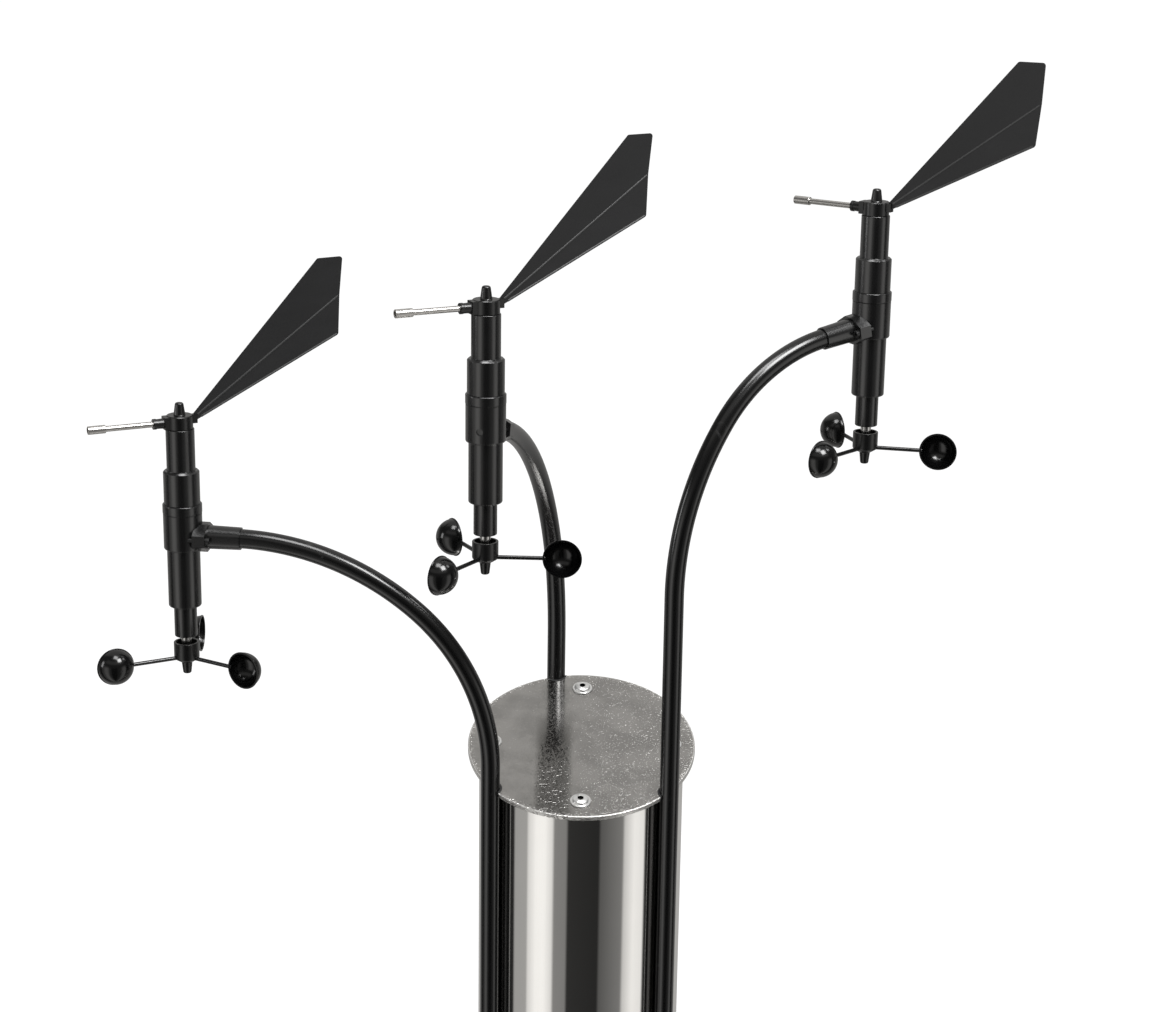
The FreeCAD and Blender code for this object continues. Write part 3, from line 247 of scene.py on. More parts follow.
@dataclass(frozen=True)
class SatinAnodised(Finish):
    """Anodised aluminium: fine blasted grain over faint lines from the lathe."""

    grain: float = 2600.0
    line_pitch: float = 2400.0
    lift: float = 0.000006

    def dress(self, shader: Shader) -> dict:
        """Grain, lathe lines and slow changes of tone.

        Args:
            shader: the material's node tree.

        Returns:
            The wires and values of the sockets that vary, by name.
        """
        where = shader.coordinates()
        grain = shader.noise(where, self.grain, 2.0)
        lines = shader.noise(shader.coordinates(Vector((4.0, 4.0, self.line_pitch))), 1.0, 2.0)
        clouds = shader.noise(where, 38.0, 4.0)
        lighter = tuple(1.7 * part + 0.002 for part in self.base)
        return {
            "Base Color": shader.blend(clouds * 0.55 + grain * 0.25, self.base, lighter),
            "Roughness": self.roughness - 0.05 + clouds * 0.08 + grain * 0.05,
            "Normal": shader.bump(grain * 0.6 + lines * 0.9, self.lift),
        }


@dataclass(frozen=True)
class CoatedTube(Finish):
    """Powder coat on bent tube: a slow orange peel and a few dull scuffs."""

    peel: float = 260.0
    lift: float = 0.000004

    def dress(self, shader: Shader) -> dict:
        """Orange peel, scuffs and dust.

        Args:
            shader: the material's node tree.

        Returns:
            The wires and values of the sockets that vary, by name.
        """
        where = shader.coordinates()
        peel = shader.noise(where, self.peel, 1.5)
        scuffs = shader.noise(where, 45.0, 3.0, 1.4).between(0.68, 0.80)
        lighter = tuple(part + 0.012 for part in self.base)
        return {
            "Base Color": shader.blend(scuffs * 0.6, self.base, lighter),
            "Roughness": self.roughness + scuffs * 0.14 + peel * 0.04,
            "Normal": shader.bump(peel, self.lift),
        }


@dataclass(frozen=True)
class GlossMoulding(Finish):
    """Moulded plastic: a deep gloss with faint flow marks."""

    flow: float = 90.0
    lift: float = 0.000010

    def dress(self, shader: Shader) -> dict:
        """Flow marks and a trace of dust.

        Args:
            shader: the material's node tree.

        Returns:
            The wires and values of the sockets that vary, by name.
        """
        where = shader.coordinates()
        flow = shader.noise(where, self.flow, 2.0, 0.6)
        dust = shader.noise(where, 1900.0, 2.0).between(0.66, 0.80)
        lighter = tuple(part + 0.02 for part in self.base)
        return {
            "Base Color": shader.blend(dust * 0.5, self.base, lighter),
            "Roughness": self.roughness + flow * 0.05 + dust * 0.12,
            "Normal": shader.bump(flow, self.lift),
        }


@dataclass(frozen=True)
class MattSheet(Finish):
    """Textured sheet: an even leathery grain with faint rubbed streaks."""

    grain: float = 1500.0
    lift: float = 0.00003

    def dress(self, shader: Shader) -> dict:
        """Grain and streaks.

        Args:
            shader: the material's node tree.

        Returns:
            The wires and values of the sockets that vary, by name.
        """
        where = shader.coordinates()
        grain = shader.noise(where, self.grain, 2.5)
        streaks = shader.noise(shader.coordinates(Vector((18.0, 18.0, 60.0)), 0.6), 1.0, 5.0)
        lighter = tuple(1.6 * part for part in self.base)
        return {
            "Base Color": shader.blend(streaks * 0.7 + grain * 0.2, self.base, lighter),
            "Roughness": self.roughness - 0.06 + streaks * 0.1 + grain * 0.06,
            "Normal": shader.bump(grain, self.lift),
        }


@dataclass(frozen=True)
class DrawnSteel(Finish):
    """Polished steel with drawn or turned lines; stretch sets which way the lines run."""

    stretch: tuple[float, float, float] = (900.0, 900.0, 9.0)
    lift: float = 0.0000008
    streak: float = 0.03

    def dress(self, shader: Shader) -> dict:
        """Fine lines, and slow smears in the polish.

        Args:
            shader: the material's node tree.

        Returns:
            The wires and values of the sockets that vary, by name.
        """
        lines = shader.noise(shader.coordinates(Vector(self.stretch)), 1.0, 3.0)
        smears = shader.noise(shader.coordinates(), 14.0, 3.0, 0.5)
        darker = tuple(0.86 * part for part in self.base)
        return {
            "Base Color": shader.blend(smears * 0.5 + lines * 0.3, self.base, darker),
            "Roughness": self.roughness + lines * self.streak + smears * self.streak,
            "Normal": shader.bump(lines, self.lift),
        }


@dataclass(frozen=True)
class CapScrewSteel(DrawnSteel):
    """Polished steel of the plate's four screws, with painted shade down inside their sockets."""

    level: float = PLATE_LEVEL
    tilt: float = PLATE_TILT
    circle_r: float = PLATE_SCREW_CIRCLE_R
    socket_r: float = 0.0037
    socket_top: float = 0.0047
    # Painted shade: the dark colour put down inside the sockets, where shade falls.
    inside: Colour = (0.02, 0.02, 0.02)

    def dress(self, shader: Shader) -> dict:
        """Drawn steel, with painted shade inside the sockets.

        Args:
            shader: the material's node tree.

        Returns:
            The wires and values of the sockets that vary, by name.
        """
        lean = math.radians(self.tilt)
        out = super().dress(shader)
        x = shader.node("ShaderNodeSeparateXYZ", None, {0: shader.coordinates()}, output="X")
        y = Wire(shader, x.socket.node.outputs["Y"])
        z = Wire(shader, x.socket.node.outputs["Z"]) - self.level
        along = y * math.cos(lean) + z * math.sin(lean)
        above = z * math.cos(lean) - y * math.sin(lean)
        reach = x * x + along * along
        # The screws stand on the plate's two axes, so the nearest one lies along the larger reach.
        far = (x * x).larger(along * along)
        beyond = far.root() - self.circle_r
        off = reach - far + beyond * beyond
        # Painted shade: the recesses of the sockets are mixed towards the dark colour.
        inside = off.below(self.socket_r ** 2) * above.below(self.socket_top)
        out["Base Color"] = shader.node("ShaderNodeMix", {"data_type": "RGBA"}, {
            0: inside, 6: out["Base Color"], 7: (*self.inside, 1.0)}, output=2)
        return out


@dataclass(frozen=True)
class WornPlate(Finish):
    """Mirror sheet that is creased in one stripe, with a painted reflection of the back tube in
    that stripe's front part, and scratched all over in short curls that are painted lighter, partly
    as worn metal and partly as painted glints.
    """

    stripe_x: float = -0.029
    stripe_half: float = 0.013
    # Where the painted reflection of the back tube fades out along Y.
    creased_y: tuple[float, float] = (-0.070, 0.015)
    painted_reflection_y: tuple[float, float] = (0.0, 0.06)
    curled_x: tuple[float, float] = (-0.035, 0.030)
    crease_scale: float = 150.0
    curl_scale: float = 210.0
    warp: float = 0.009
    rim_r: float = 0.1195
    rim_wide: float = 0.0012
    tick_band: tuple[float, float] = (0.0055, 0.001)
    lean: float = 1.047
    lift: float = 0.0004
    # Light colour of curls, ticks and rim: partly clean worn metal, partly painted glints.
    bright: Colour = (0.86, 0.85, 0.83)
    # Painted reflection: the dark colour that stands in for the back tube's mirror image.
    painted_reflection: Colour = (0.13, 0.127, 0.12)

    def curls(self, shader: Shader, warped: Wire, scale: float, seed: float) -> Wire:
        """Short bent scratches: pieces of a net of thin lines.

        Args:
            shader: the material's node tree.
            warped: where the net is read.
            scale: cells of the net per metre.
            seed: shift of this net from the others.

        Returns:
            One on the scratches and zero between them.
        """
        shifted = shader.node("ShaderNodeVectorMath", {"operation": "ADD"}, {
            0: warped, 1: (seed, 2.0 * seed, 0.0)})
        net = shader.node("ShaderNodeTexVoronoi", {"feature": "DISTANCE_TO_EDGE"}, {
            "Vector": shifted, "Scale": scale})
        pieces = shader.noise(shifted, 2.3 * scale, 1.0).between(0.565, 0.645)
        return (1.0 - net.between(0.015, 0.075)) * pieces

    def dress(self, shader: Shader) -> dict:
        """Creases in the stripe with a painted reflection in its front part, curls and specks
        everywhere, and a filed rim; curls, ticks and rim are painted lighter, partly as clean metal
        and partly as painted glints.

        Args:
            shader: the material's node tree.

        Returns:
            The wires and values of the sockets that vary, by name.
        """
        where = shader.coordinates()
        wobble = shader.node("ShaderNodeTexNoise", None, {
            "Vector": where, "Scale": 130.0, "Detail": 2.0}, output="Color")
        warped = shader.node("ShaderNodeVectorMath", {"operation": "MULTIPLY_ADD"}, {
            0: wobble, 1: (self.warp, self.warp, 0.0), 2: where})
        x = shader.node("ShaderNodeSeparateXYZ", None, {0: where}, output="X")
        y = Wire(shader, x.socket.node.outputs["Y"])
        off = x - self.stripe_x
        stripe = 1.0 - (off * off).between((self.stripe_half * 0.8) ** 2,
                                           (self.stripe_half * 1.7) ** 2)
        creased = stripe * (1.0 - y.between(*self.creased_y))
        rightward = x.between(*self.curled_x)
        curls = (self.curls(shader, warped, self.curl_scale, 0.0)
                 + self.curls(shader, warped, self.curl_scale * 1.6, 0.31) * 0.7
                 + self.curls(shader, warped, self.curl_scale * 2.6, 0.57) * 0.5)
        share = curls * (rightward * 0.65 + 0.35)
        cells = shader.node("ShaderNodeTexVoronoi", {"feature": "DISTANCE_TO_EDGE"}, {
            "Vector": warped, "Scale": self.crease_scale})
        crumple = (1.0 - cells.between(0.0, 0.22)) + shader.noise(warped, 210.0, 3.0, 1.2) * 1.4
        grain = shader.noise(where, 900.0, 2.0)
        patches = shader.noise(where, 30.0, 4.0, 0.4)
        # Seen from above, the sloping plate is shorter along Y by its lean.
        reach = shader.node("ShaderNodeVectorMath", {"operation": "LENGTH"}, {
            0: shader.node("ShaderNodeCombineXYZ", None, {0: x, 1: y * self.lean, 2: 0.0})},
            output="Value")
        rim = reach.between(self.rim_r, self.rim_r + self.rim_wide)
        ticks = shader.noise(where, 380.0, 1.0).between(0.50, 0.60) * reach.between(
            self.rim_r - self.tick_band[0], self.rim_r - self.tick_band[1])
        height = (creased * crumple * 1.0 + share * 0.27 + ticks * 0.4
                  + grain * 0.020 + patches * 0.10)
        # Painted glints: curls, ticks and the rim are made lighter, partly as clean worn metal and
        # partly as painted highlight.
        wear_and_painted_glints = share * 0.60 + rim * 0.9 + ticks * 0.5
        darker = tuple(0.80 * part for part in self.base)
        plain = shader.blend(patches.between(0.35, 0.65), self.base, darker)
        # Painted reflection: the stripe's front part is mixed towards the dark colour of the tube's
        # mirror image.
        tone = shader.node("ShaderNodeMix", {"data_type": "RGBA"}, {
            0: stripe * (1.0 - y.between(*self.painted_reflection_y)) * 0.75, 6: plain, 7: (*self.painted_reflection, 1.0)},
            output=2)
        colour = shader.node("ShaderNodeMix", {"data_type": "RGBA"}, {
            0: wear_and_painted_glints, 6: tone, 7: (*self.bright, 1.0)}, output=2)
        return {
            "Base Color": colour,
            "Roughness": self.roughness + patches * 0.06 + share * 0.25 + rim * 0.2,
            "Normal": shader.bump(height, self.lift),
        }


@dataclass(frozen=True)
class PlainRubber(Finish):
    """Black rubber with a dusty bloom."""

    pitting: float = 2200.0
    lift: float = 0.00002

    def dress(self, shader: Shader) -> dict:
        """Bloom and pitting.

        Args:
            shader: the material's node tree.

        Returns:
            The wires and values of the sockets that vary, by name.
        """
        where = shader.coordinates()
        bloom = shader.noise(where, 130.0, 4.0)
        lighter = tuple(part + 0.02 for part in self.base)
        return {
            "Base Color": shader.blend(bloom, self.base, lighter),
            "Roughness": self.roughness + bloom * 0.1,
            "Normal": shader.bump(shader.noise(where, self.pitting, 2.0), self.lift),
        }


@dataclass(frozen=True)
class CircuitBoard(Finish):
    """Green solder mask over copper tracks."""

    track_scale: float = 420.0
    lift: float = 0.00003

    def dress(self, shader: Shader) -> dict:
        """Tracks as a raised grid of cells under the mask.

        Args:
            shader: the material's node tree.

        Returns:
            The wires and values of the sockets that vary, by name.
        """
        where = shader.coordinates()
        tracks = shader.node("ShaderNodeTexVoronoi", {"feature": "DISTANCE_TO_EDGE"}, {
            "Vector": where, "Scale": self.track_scale}).between(0.05, 0.12)
        lighter = tuple(1.9 * part for part in self.base)
        return {
            "Base Color": shader.blend(tracks, lighter, self.base),
            "Roughness": self.roughness + tracks * 0.1,
            "Normal": shader.bump(tracks, self.lift),
        }


class Finishes(Enum):
    """Every finish on the station."""

    HOUSING = SatinAnodised("housing_anodised", (0.0018, 0.0018, 0.0019), 0.22, specular=0.95)
    ARM = CoatedTube("arm_coat", (0.0018, 0.0018, 0.0019), 0.19, specular=0.75)
    MOULDED = GlossMoulding("hub_moulding", (0.0022, 0.0022, 0.0023), 0.26, specular=0.7)
    CUP = GlossMoulding("cup_gloss", (0.0016, 0.0016, 0.0017), 0.15, specular=0.6)
    BLADE = MattSheet("blade_sheet", (0.0088, 0.0088, 0.0091), 0.47, specular=0.30)
    # Painted highlight: the beads are the blade's own sheet in a lighter black, so the fold and the
    # lower edge read as light lines.
    BEAD = CoatedTube("blade_bead_painted_highlight", (0.026, 0.026, 0.0264), 0.42, specular=0.5)
    ROD = DrawnSteel("rod_polish", (0.66, 0.645, 0.62), 0.22, 1.0, stretch=(40.0, 40.0, 40.0),
                     lift=0.0000001, streak=0.04)
    SPINDLE = DrawnSteel("spindle_ground", (0.80, 0.79, 0.77), 0.20, 1.0,
                         stretch=(20.0, 20.0, 3000.0))
    SCREW = CapScrewSteel("screw_polish_painted_socket_shade", (0.80, 0.80, 0.79), 0.26, 0.85,
                       stretch=(260.0, 260.0, 260.0), lift=0.0000004)
    COLUMN = DrawnSteel("column_polish", (0.93, 0.92, 0.90), 0.030, 1.0,
                        stretch=(1100.0, 1100.0, 5.0))
    PLATE = WornPlate("plate_worn_and_painted_light", (0.50, 0.49, 0.475), 0.07, 1.0)
    BRUSHED = DrawnSteel("steel_brushed", (0.62, 0.61, 0.59), 0.30, 1.0,
                         stretch=(1500.0, 30.0, 1500.0), lift=0.000004, streak=0.08)
    OXIDE = CoatedTube("screw_oxide", (0.008, 0.008, 0.008), 0.28)
    RUBBER = PlainRubber("grommet_rubber", (0.004, 0.004, 0.004), 0.62, specular=0.3)
    BOARD = CircuitBoard("board_mask", (0.012, 0.085, 0.035), 0.38)

    def material(self) -> bpy.types.Material:
        """The finish's material."""
        return self.value.material()


# ------------------------------------------------------------------ mesh tools

def rounded(corners: Sequence[Corner], closed: bool, steps: int = 5) -> list[tuple[float, float]]:
    """An outline with each corner rounded by its own radius.

    Args:
        corners: (across, level, radius) of each corner, in order.
        closed: whether the last corner runs on to the first.
        steps: how many faces each round has.

    Returns:
        The outline's points, as (across, level).
    """
    out: list[tuple[float, float]] = []
    count = len(corners)
    for i, (x, y, radius) in enumerate(corners):
        at_end = not closed and i in (0, count - 1)
        if radius <= 0.0 or at_end:
            out.append((x, y))
            continue
        here = Vector((x, y))
        before = (Vector(corners[i - 1][:2]) - here).normalized()
        after = (Vector(corners[(i + 1) % count][:2]) - here).normalized()
        half = math.acos(max(-1.0, min(1.0, before.dot(after)))) / 2
        back = radius / math.tan(half)
        middle = here + (before + after).normalized() * (radius / math.sin(half))
        start = here + before * back - middle
        sweep = math.pi - 2 * half
        way = 1.0 if start.x * (here + after * back - middle).y > \
            start.y * (here + after * back - middle).x else -1.0
        for k in range(steps + 1):
            angle = way * sweep * k / steps
            out.append((middle.x + start.x * math.cos(angle) - start.y * math.sin(angle),
                        middle.y + start.x * math.sin(angle) + start.y * math.cos(angle)))
    return out


def turned(outline: Sequence[tuple[float, float]], closed: bool,
           steps: int = TURN_STEPS) -> bpy.types.Mesh:
    """A mesh turned about Z.

    Args:
        outline: (radius, level) points; an open outline starts and ends on the axis.
        closed: whether the outline is a ring, clear of the axis.
        steps: faces round the axis.

    Returns:
        The mesh, with its normals outwards.
    """
    bm = bmesh.new()
    rings = []
    for radius, level in outline:
        if radius < MERGE:
            rings.append([bm.verts.new((0.0, 0.0, level))])
            continue
        rings.append([bm.verts.new((radius * math.cos(math.tau * k / steps),
                                    radius * math.sin(math.tau * k / steps), level))
                      for k in range(steps)])
    pairs = list(zip(rings, rings[1:])) + ([(rings[-1], rings[0])] if closed else [])
    for low, high in pairs:
        for k in range(steps):
            n = (k + 1) % steps
            face = [low[k % len(low)], low[n % len(low)], high[n % len(high)], high[k % len(high)]]
            face = list(dict.fromkeys(face))
            if len(face) > 2:
                bm.faces.new(face)
    return closed_mesh(bm, "turned")


def closed_mesh(bm: bmesh.types.BMesh, name: str) -> bpy.types.Mesh:
    """A mesh from a bmesh of closed shells, merged and with its normals outwards.

    Args:
        bm: the shells; it is freed.
        name: the mesh's name.

    Returns:
        The mesh.
    """
    bmesh.ops.remove_doubles(bm, verts=bm.verts, dist=MERGE)
    bmesh.ops.recalc_face_normals(bm, faces=bm.faces)
    mesh = bpy.data.meshes.new(name)
    bm.to_mesh(mesh)
    bm.free()
    return mesh


def lathe(corners: Sequence[Corner], closed: bool = False, steps: int = TURN_STEPS,
          round_steps: int = 5) -> bpy.types.Mesh:
    """A turned mesh from corners with rounds."""
    return turned(rounded(corners, closed, round_steps), closed, steps)


def hexagon_socket(mesh: bpy.types.Mesh, radius: float, floor: float) -> bpy.types.Mesh:
    """Make the round recess in a turned screw head six-sided.

    Args:
        mesh: the turned screw.
        radius: the recess's radius, to its corners.
        floor: level of the recess's floor.

    Returns:
        The same mesh.
    """
    sector = math.pi / 3
    for vertex in mesh.vertices:
        reach = math.hypot(vertex.co.x, vertex.co.y)
        if vertex.co.z < floor - MERGE or reach > radius * 1.02 or reach < radius * 0.9:
            continue
        angle = math.atan2(vertex.co.y, vertex.co.x) % sector - sector / 2
        scale = math.cos(sector / 2) / math.cos(angle)
        vertex.co.x *= scale
        vertex.co.y *= scale
    return mesh


def joined(meshes: Sequence[bpy.types.Mesh]) -> bpy.types.Mesh:
    """Several meshes as one.

    Args:
        meshes: the meshes.

    Returns:
        One new mesh.
    """
    bm = bmesh.new()
    for mesh in meshes:
        bm.from_mesh(mesh)
    out = bpy.data.meshes.new("joined")
    bm.to_mesh(out)
    bm.free()
    return out


def placed(mesh: bpy.types.Mesh, place: Matrix) -> bpy.types.Mesh:
    """A copy of a mesh, moved.

    Args:
        mesh: the mesh, which stays as it is.
        place: the move.

    Returns:
        The moved copy.
    """
    out = mesh.copy()
    out.transform(place)
    return out


def cad_copy(node: str) -> bpy.types.Mesh:
    """A welded copy of a CAD node's mesh, with its flat faces joined up.

    Args:
        node: the node's name.

    Returns:
        The copy.
    """
    bm = bmesh.new()
    bm.from_mesh(frame["nodes"][node].data)
    bmesh.ops.remove_doubles(bm, verts=bm.verts, dist=MERGE)
    bmesh.ops.dissolve_limit(bm, angle_limit=math.radians(0.4), verts=bm.verts, edges=bm.edges)
    mesh = bpy.data.meshes.new(node)
    bm.to_mesh(mesh)
    bm.free()
    return mesh


@dataclass
class Softening:
    """How a piece's hard edges are eased."""

    width: float = 0.0
    segments: int = 2
    angle: float = 40.0


def add_piece(name: str, mesh: bpy.types.Mesh, finish: Finishes, body: str, slot: str,
              replaces: Sequence[str] = (), soften: Optional[Softening] = None,
              ) -> bpy.types.Object:
    """Put a finished mesh in the scene and say what it is.

    Args:
        name: the piece's name.
        mesh: its mesh, already in place.
        finish: its finish.
        body: the CAD body that it rides on.
        slot: the record's material slot; not used.
        replaces: the CAD nodes that it stands for.
        soften: how its edges are eased, if they are.

    Returns:
        The new object.
    """
    mesh.name = name
    mesh.materials.clear()
    mesh.materials.append(finish.material())
    mesh.polygons.foreach_set("use_smooth", [True] * len(mesh.polygons))
    piece = bpy.data.objects.new(name, mesh)
    bpy.context.scene.collection.objects.link(piece)
    if soften:
        bevel = piece.modifiers.new("eased_edges", "BEVEL")
        bevel.width = soften.width
        bevel.segments = soften.segments
        bevel.limit_method = "ANGLE"
        bevel.angle_limit = math.radians(soften.angle)
    else:
        mesh.set_sharp_from_angle(angle=SHARP_ANGLE)
    weighted = piece.modifiers.new("face_normals", "WEIGHTED_NORMAL")
    weighted.keep_sharp = True
    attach(piece, body)
    if replaces:
        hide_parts(*replaces)
    LOG.info("piece %s on %s, %d faces", name, body, len(mesh.polygons))
    return piece


# ------------------------------------------------------------------ geometry nodes

class NodeTool:
    """A geometry node tree with named inputs, run on a mesh to give a plain mesh."""

    def __init__(self, name: str, inputs: dict[str, str]) -> None:
        """Make the tree with its inputs: socket types by name.

        Args:
            name: the tree's name.
            inputs: socket types by name.
        """
        self.tree = bpy.data.node_groups.new(name, "GeometryNodeTree")
        add = self.tree.interface.new_socket
        add("Geometry", in_out="INPUT", socket_type="NodeSocketGeometry")
        for title, kind in inputs.items():
            add(title, in_out="INPUT", socket_type=kind)
        add("Material", in_out="INPUT", socket_type="NodeSocketMaterial")
        add("Geometry", in_out="OUTPUT", socket_type="NodeSocketGeometry")
        self.source = self.tree.nodes.new("NodeGroupInput")

    def node(self, kind: str, inputs: Optional[dict] = None, settings: Optional[dict] = None,
             output: Union[int, str] = 0) -> bpy.types.NodeSocket:
        """Add a node; inputs hold values or sockets by name or number.

        Args:
            kind: the node's type.
            inputs: values or sockets by name or number.
            settings: its own properties.
            output: which output is returned.

        Returns:
            The chosen output.
        """
        node = self.tree.nodes.new(kind)
        for key, value in (settings or {}).items():
            setattr(node, key, value)
        for key, value in (inputs or {}).items():
            if isinstance(value, bpy.types.NodeSocket):
                self.tree.links.new(value, node.inputs[key])
            else:
                node.inputs[key].default_value = value
        return node.outputs[output] if len(node.outputs) else None

    def given(self, title: str) -> bpy.types.NodeSocket:
        """One of the tree's named inputs."""
        return self.source.outputs[title]

    def close(self, geometry: bpy.types.NodeSocket) -> None:
        """End the tree in Realize Instances and Set Material.

        Args:
            geometry: the geometry that the tree ends with.
        """
        real = self.node("GeometryNodeRealizeInstances", {"Geometry": geometry})
        dressed = self.node("GeometryNodeSetMaterial", {
            "Geometry": real, "Material": self.given("Material")})
        self.node("NodeGroupOutput", {0: dressed})

    def run(self, mesh: bpy.types.Mesh, values: dict, finish: Finishes) -> bpy.types.Mesh:
        """The tree's result on a mesh.

        Args:
            mesh: the mesh that the tree starts from.
            values: the named inputs' values.
            finish: the finish of the result.

        Returns:
            A plain mesh.
        """
        holder = bpy.data.objects.new("holder", mesh)
        bpy.context.scene.collection.objects.link(holder)
        modifier = holder.modifiers.new("tool", "NODES")
        modifier.node_group = self.tree
        wanted = {**values, "Material": finish.material()}
        for item in self.tree.interface.items_tree:
            if item.in_out == "INPUT" and item.name in wanted:
                modifier[item.identifier] = wanted[item.name]
        evaluated = holder.evaluated_get(bpy.context.evaluated_depsgraph_get())
        result = bpy.data.meshes.new_from_object(evaluated)
        bpy.data.objects.remove(holder)
        return result


def make_ring_tool() -> NodeTool:
    """Copies of a mesh turned evenly about Z.

    Returns:
        The tool, with Copies as its input.
    """
    tool = NodeTool("ring_of_copies", {"Copies": "NodeSocketInt"})
    points = tool.node("GeometryNodePoints", {"Count": tool.given("Copies")})
    step = tool.node("ShaderNodeMath", {0: math.tau, 1: tool.given("Copies")},
                     {"operation": "DIVIDE"})
    angle = tool.node("ShaderNodeMath", {0: tool.node("GeometryNodeInputIndex"), 1: step},
                      {"operation": "MULTIPLY"})
    spin = tool.node("FunctionNodeEulerToRotation", {
        0: tool.node("ShaderNodeCombineXYZ", {"Z": angle})})
    copies = tool.node("GeometryNodeInstanceOnPoints", {
        "Points": points, "Instance": tool.given("Geometry"), "Rotation": spin})
    tool.close(copies)
    return tool


def make_sweep_tool() -> NodeTool:
    """A round bar along a mesh's edges.

    Returns:
        The tool, with Radius and Sides as its inputs.
    """
    tool = NodeTool("bar_along_path", {"Radius": "NodeSocketFloat", "Sides": "NodeSocketInt"})
    path = tool.node("GeometryNodeMeshToCurve", {"Mesh": tool.given("Geometry")})
    section = tool.node("GeometryNodeCurvePrimitiveCircle", {
        "Resolution": tool.given("Sides"), "Radius": tool.given("Radius")})
    bar = tool.node("GeometryNodeCurveToMesh", {
        "Curve": path, "Profile Curve": section, "Fill Caps": True})
    tool.close(bar)
    return tool


RING = make_ring_tool()
SWEEP = make_sweep_tool()


def path_mesh(points: Sequence[Vector]) -> bpy.types.Mesh:
    """An open chain of edges through points.

    Args:
        points: the points, in order.

    Returns:
        A mesh of edges alone.
    """
    mesh = bpy.data.meshes.new("path")
    mesh.from_pydata([tuple(p) for p in points], [(i, i + 1) for i in range(len(points) - 1)], [])
    return mesh


def outward(mesh: bpy.types.Mesh) -> bpy.types.Mesh:
    """The same mesh with its normals outwards.

    Args:
        mesh: a mesh of closed shells.

    Returns:
        The same mesh.
    """
    bm = bmesh.new()
    bm.from_mesh(mesh)
    bmesh.ops.recalc_face_normals(bm, faces=bm.faces)
    bm.to_mesh(mesh)
    bm.free()
    return mesh


def turn(axis: str, degrees: float) -> Matrix:
    """A turn about X, Y or Z."""
    return Matrix.Rotation(math.radians(degrees), 4, axis)


def shift(x: float, y: float, z: float) -> Matrix:
    """A move."""
    return Matrix.Translation((x, y, z))


# ------------------------------------------------------------------ screws

DRILL_POINT = 0.3


@dataclass(frozen=True)
class CapScrew:
    """Button-head screw with a wide flange, seat at zero."""

    shank_r: float = 0.0042
    length: float = 0.016
    flange_r: float = 0.01095
    flange_thick: float = 0.0016
    head_r: float = 0.00875
    dome: float = 0.0034
    socket_r: float = 0.0035
    socket_deep: float = 0.0034
    flat_r: float = 0.0046
    dome_round: float = 0.0022
    knee_r: float = 0.93
    knee_high: float = 0.62

    def mesh(self) -> bpy.types.Mesh:
        """The screw, head up.

        Returns:
            The screw along Z, its seat at zero.
        """
        top = self.flange_thick + self.dome
        floor = top - self.socket_deep
        mesh = lathe([
            (0.0, -self.length, 0.0),
            (self.shank_r, -self.length, 0.0006),
            (self.shank_r, 0.0, 0.0),
            (self.flange_r, 0.0, 0.0003),
            (self.flange_r, self.flange_thick, 0.0006),
            (self.head_r, self.flange_thick, 0.0003),
            (self.head_r * self.knee_r, self.flange_thick + self.dome * self.knee_high,
             self.dome_round),
            (self.flat_r, top, self.dome_round),
            (self.socket_r, top, 0.0002),
            (self.socket_r, floor, 0.0),
            (0.0, floor - self.socket_r * DRILL_POINT, 0.0),
        ], steps=TURN_STEPS)
        return hexagon_socket(mesh, self.socket_r, floor)


@dataclass(frozen=True)
class SocketScrew:
    """M4 socket screw, underside of its head at zero."""

    shank_r: float = 0.00195
    length: float = 0.018
    head_r: float = 0.0035
    head_high: float = 0.004
    socket_r: float = 0.0017
    socket_deep: float = 0.0022

    def mesh(self) -> bpy.types.Mesh:
        """The screw, head up.

        Returns:
            The screw along Z, the underside of its head at zero.
        """
        floor = self.head_high - self.socket_deep
        mesh = lathe([
            (0.0, -self.length, 0.0),
            (self.shank_r, -self.length, 0.0003),
            (self.shank_r, 0.0, 0.0),
            (self.head_r, 0.0, 0.0002),
            (self.head_r, self.head_high, 0.0005),
            (self.socket_r, self.head_high, 0.0002),
            (self.socket_r, floor, 0.0),
            (0.0, floor - self.socket_r * DRILL_POINT, 0.0),
        ], steps=SMALL_TURN_STEPS, round_steps=3)
        return hexagon_socket(mesh, self.socket_r, floor)


# ------------------------------------------------------------------ column

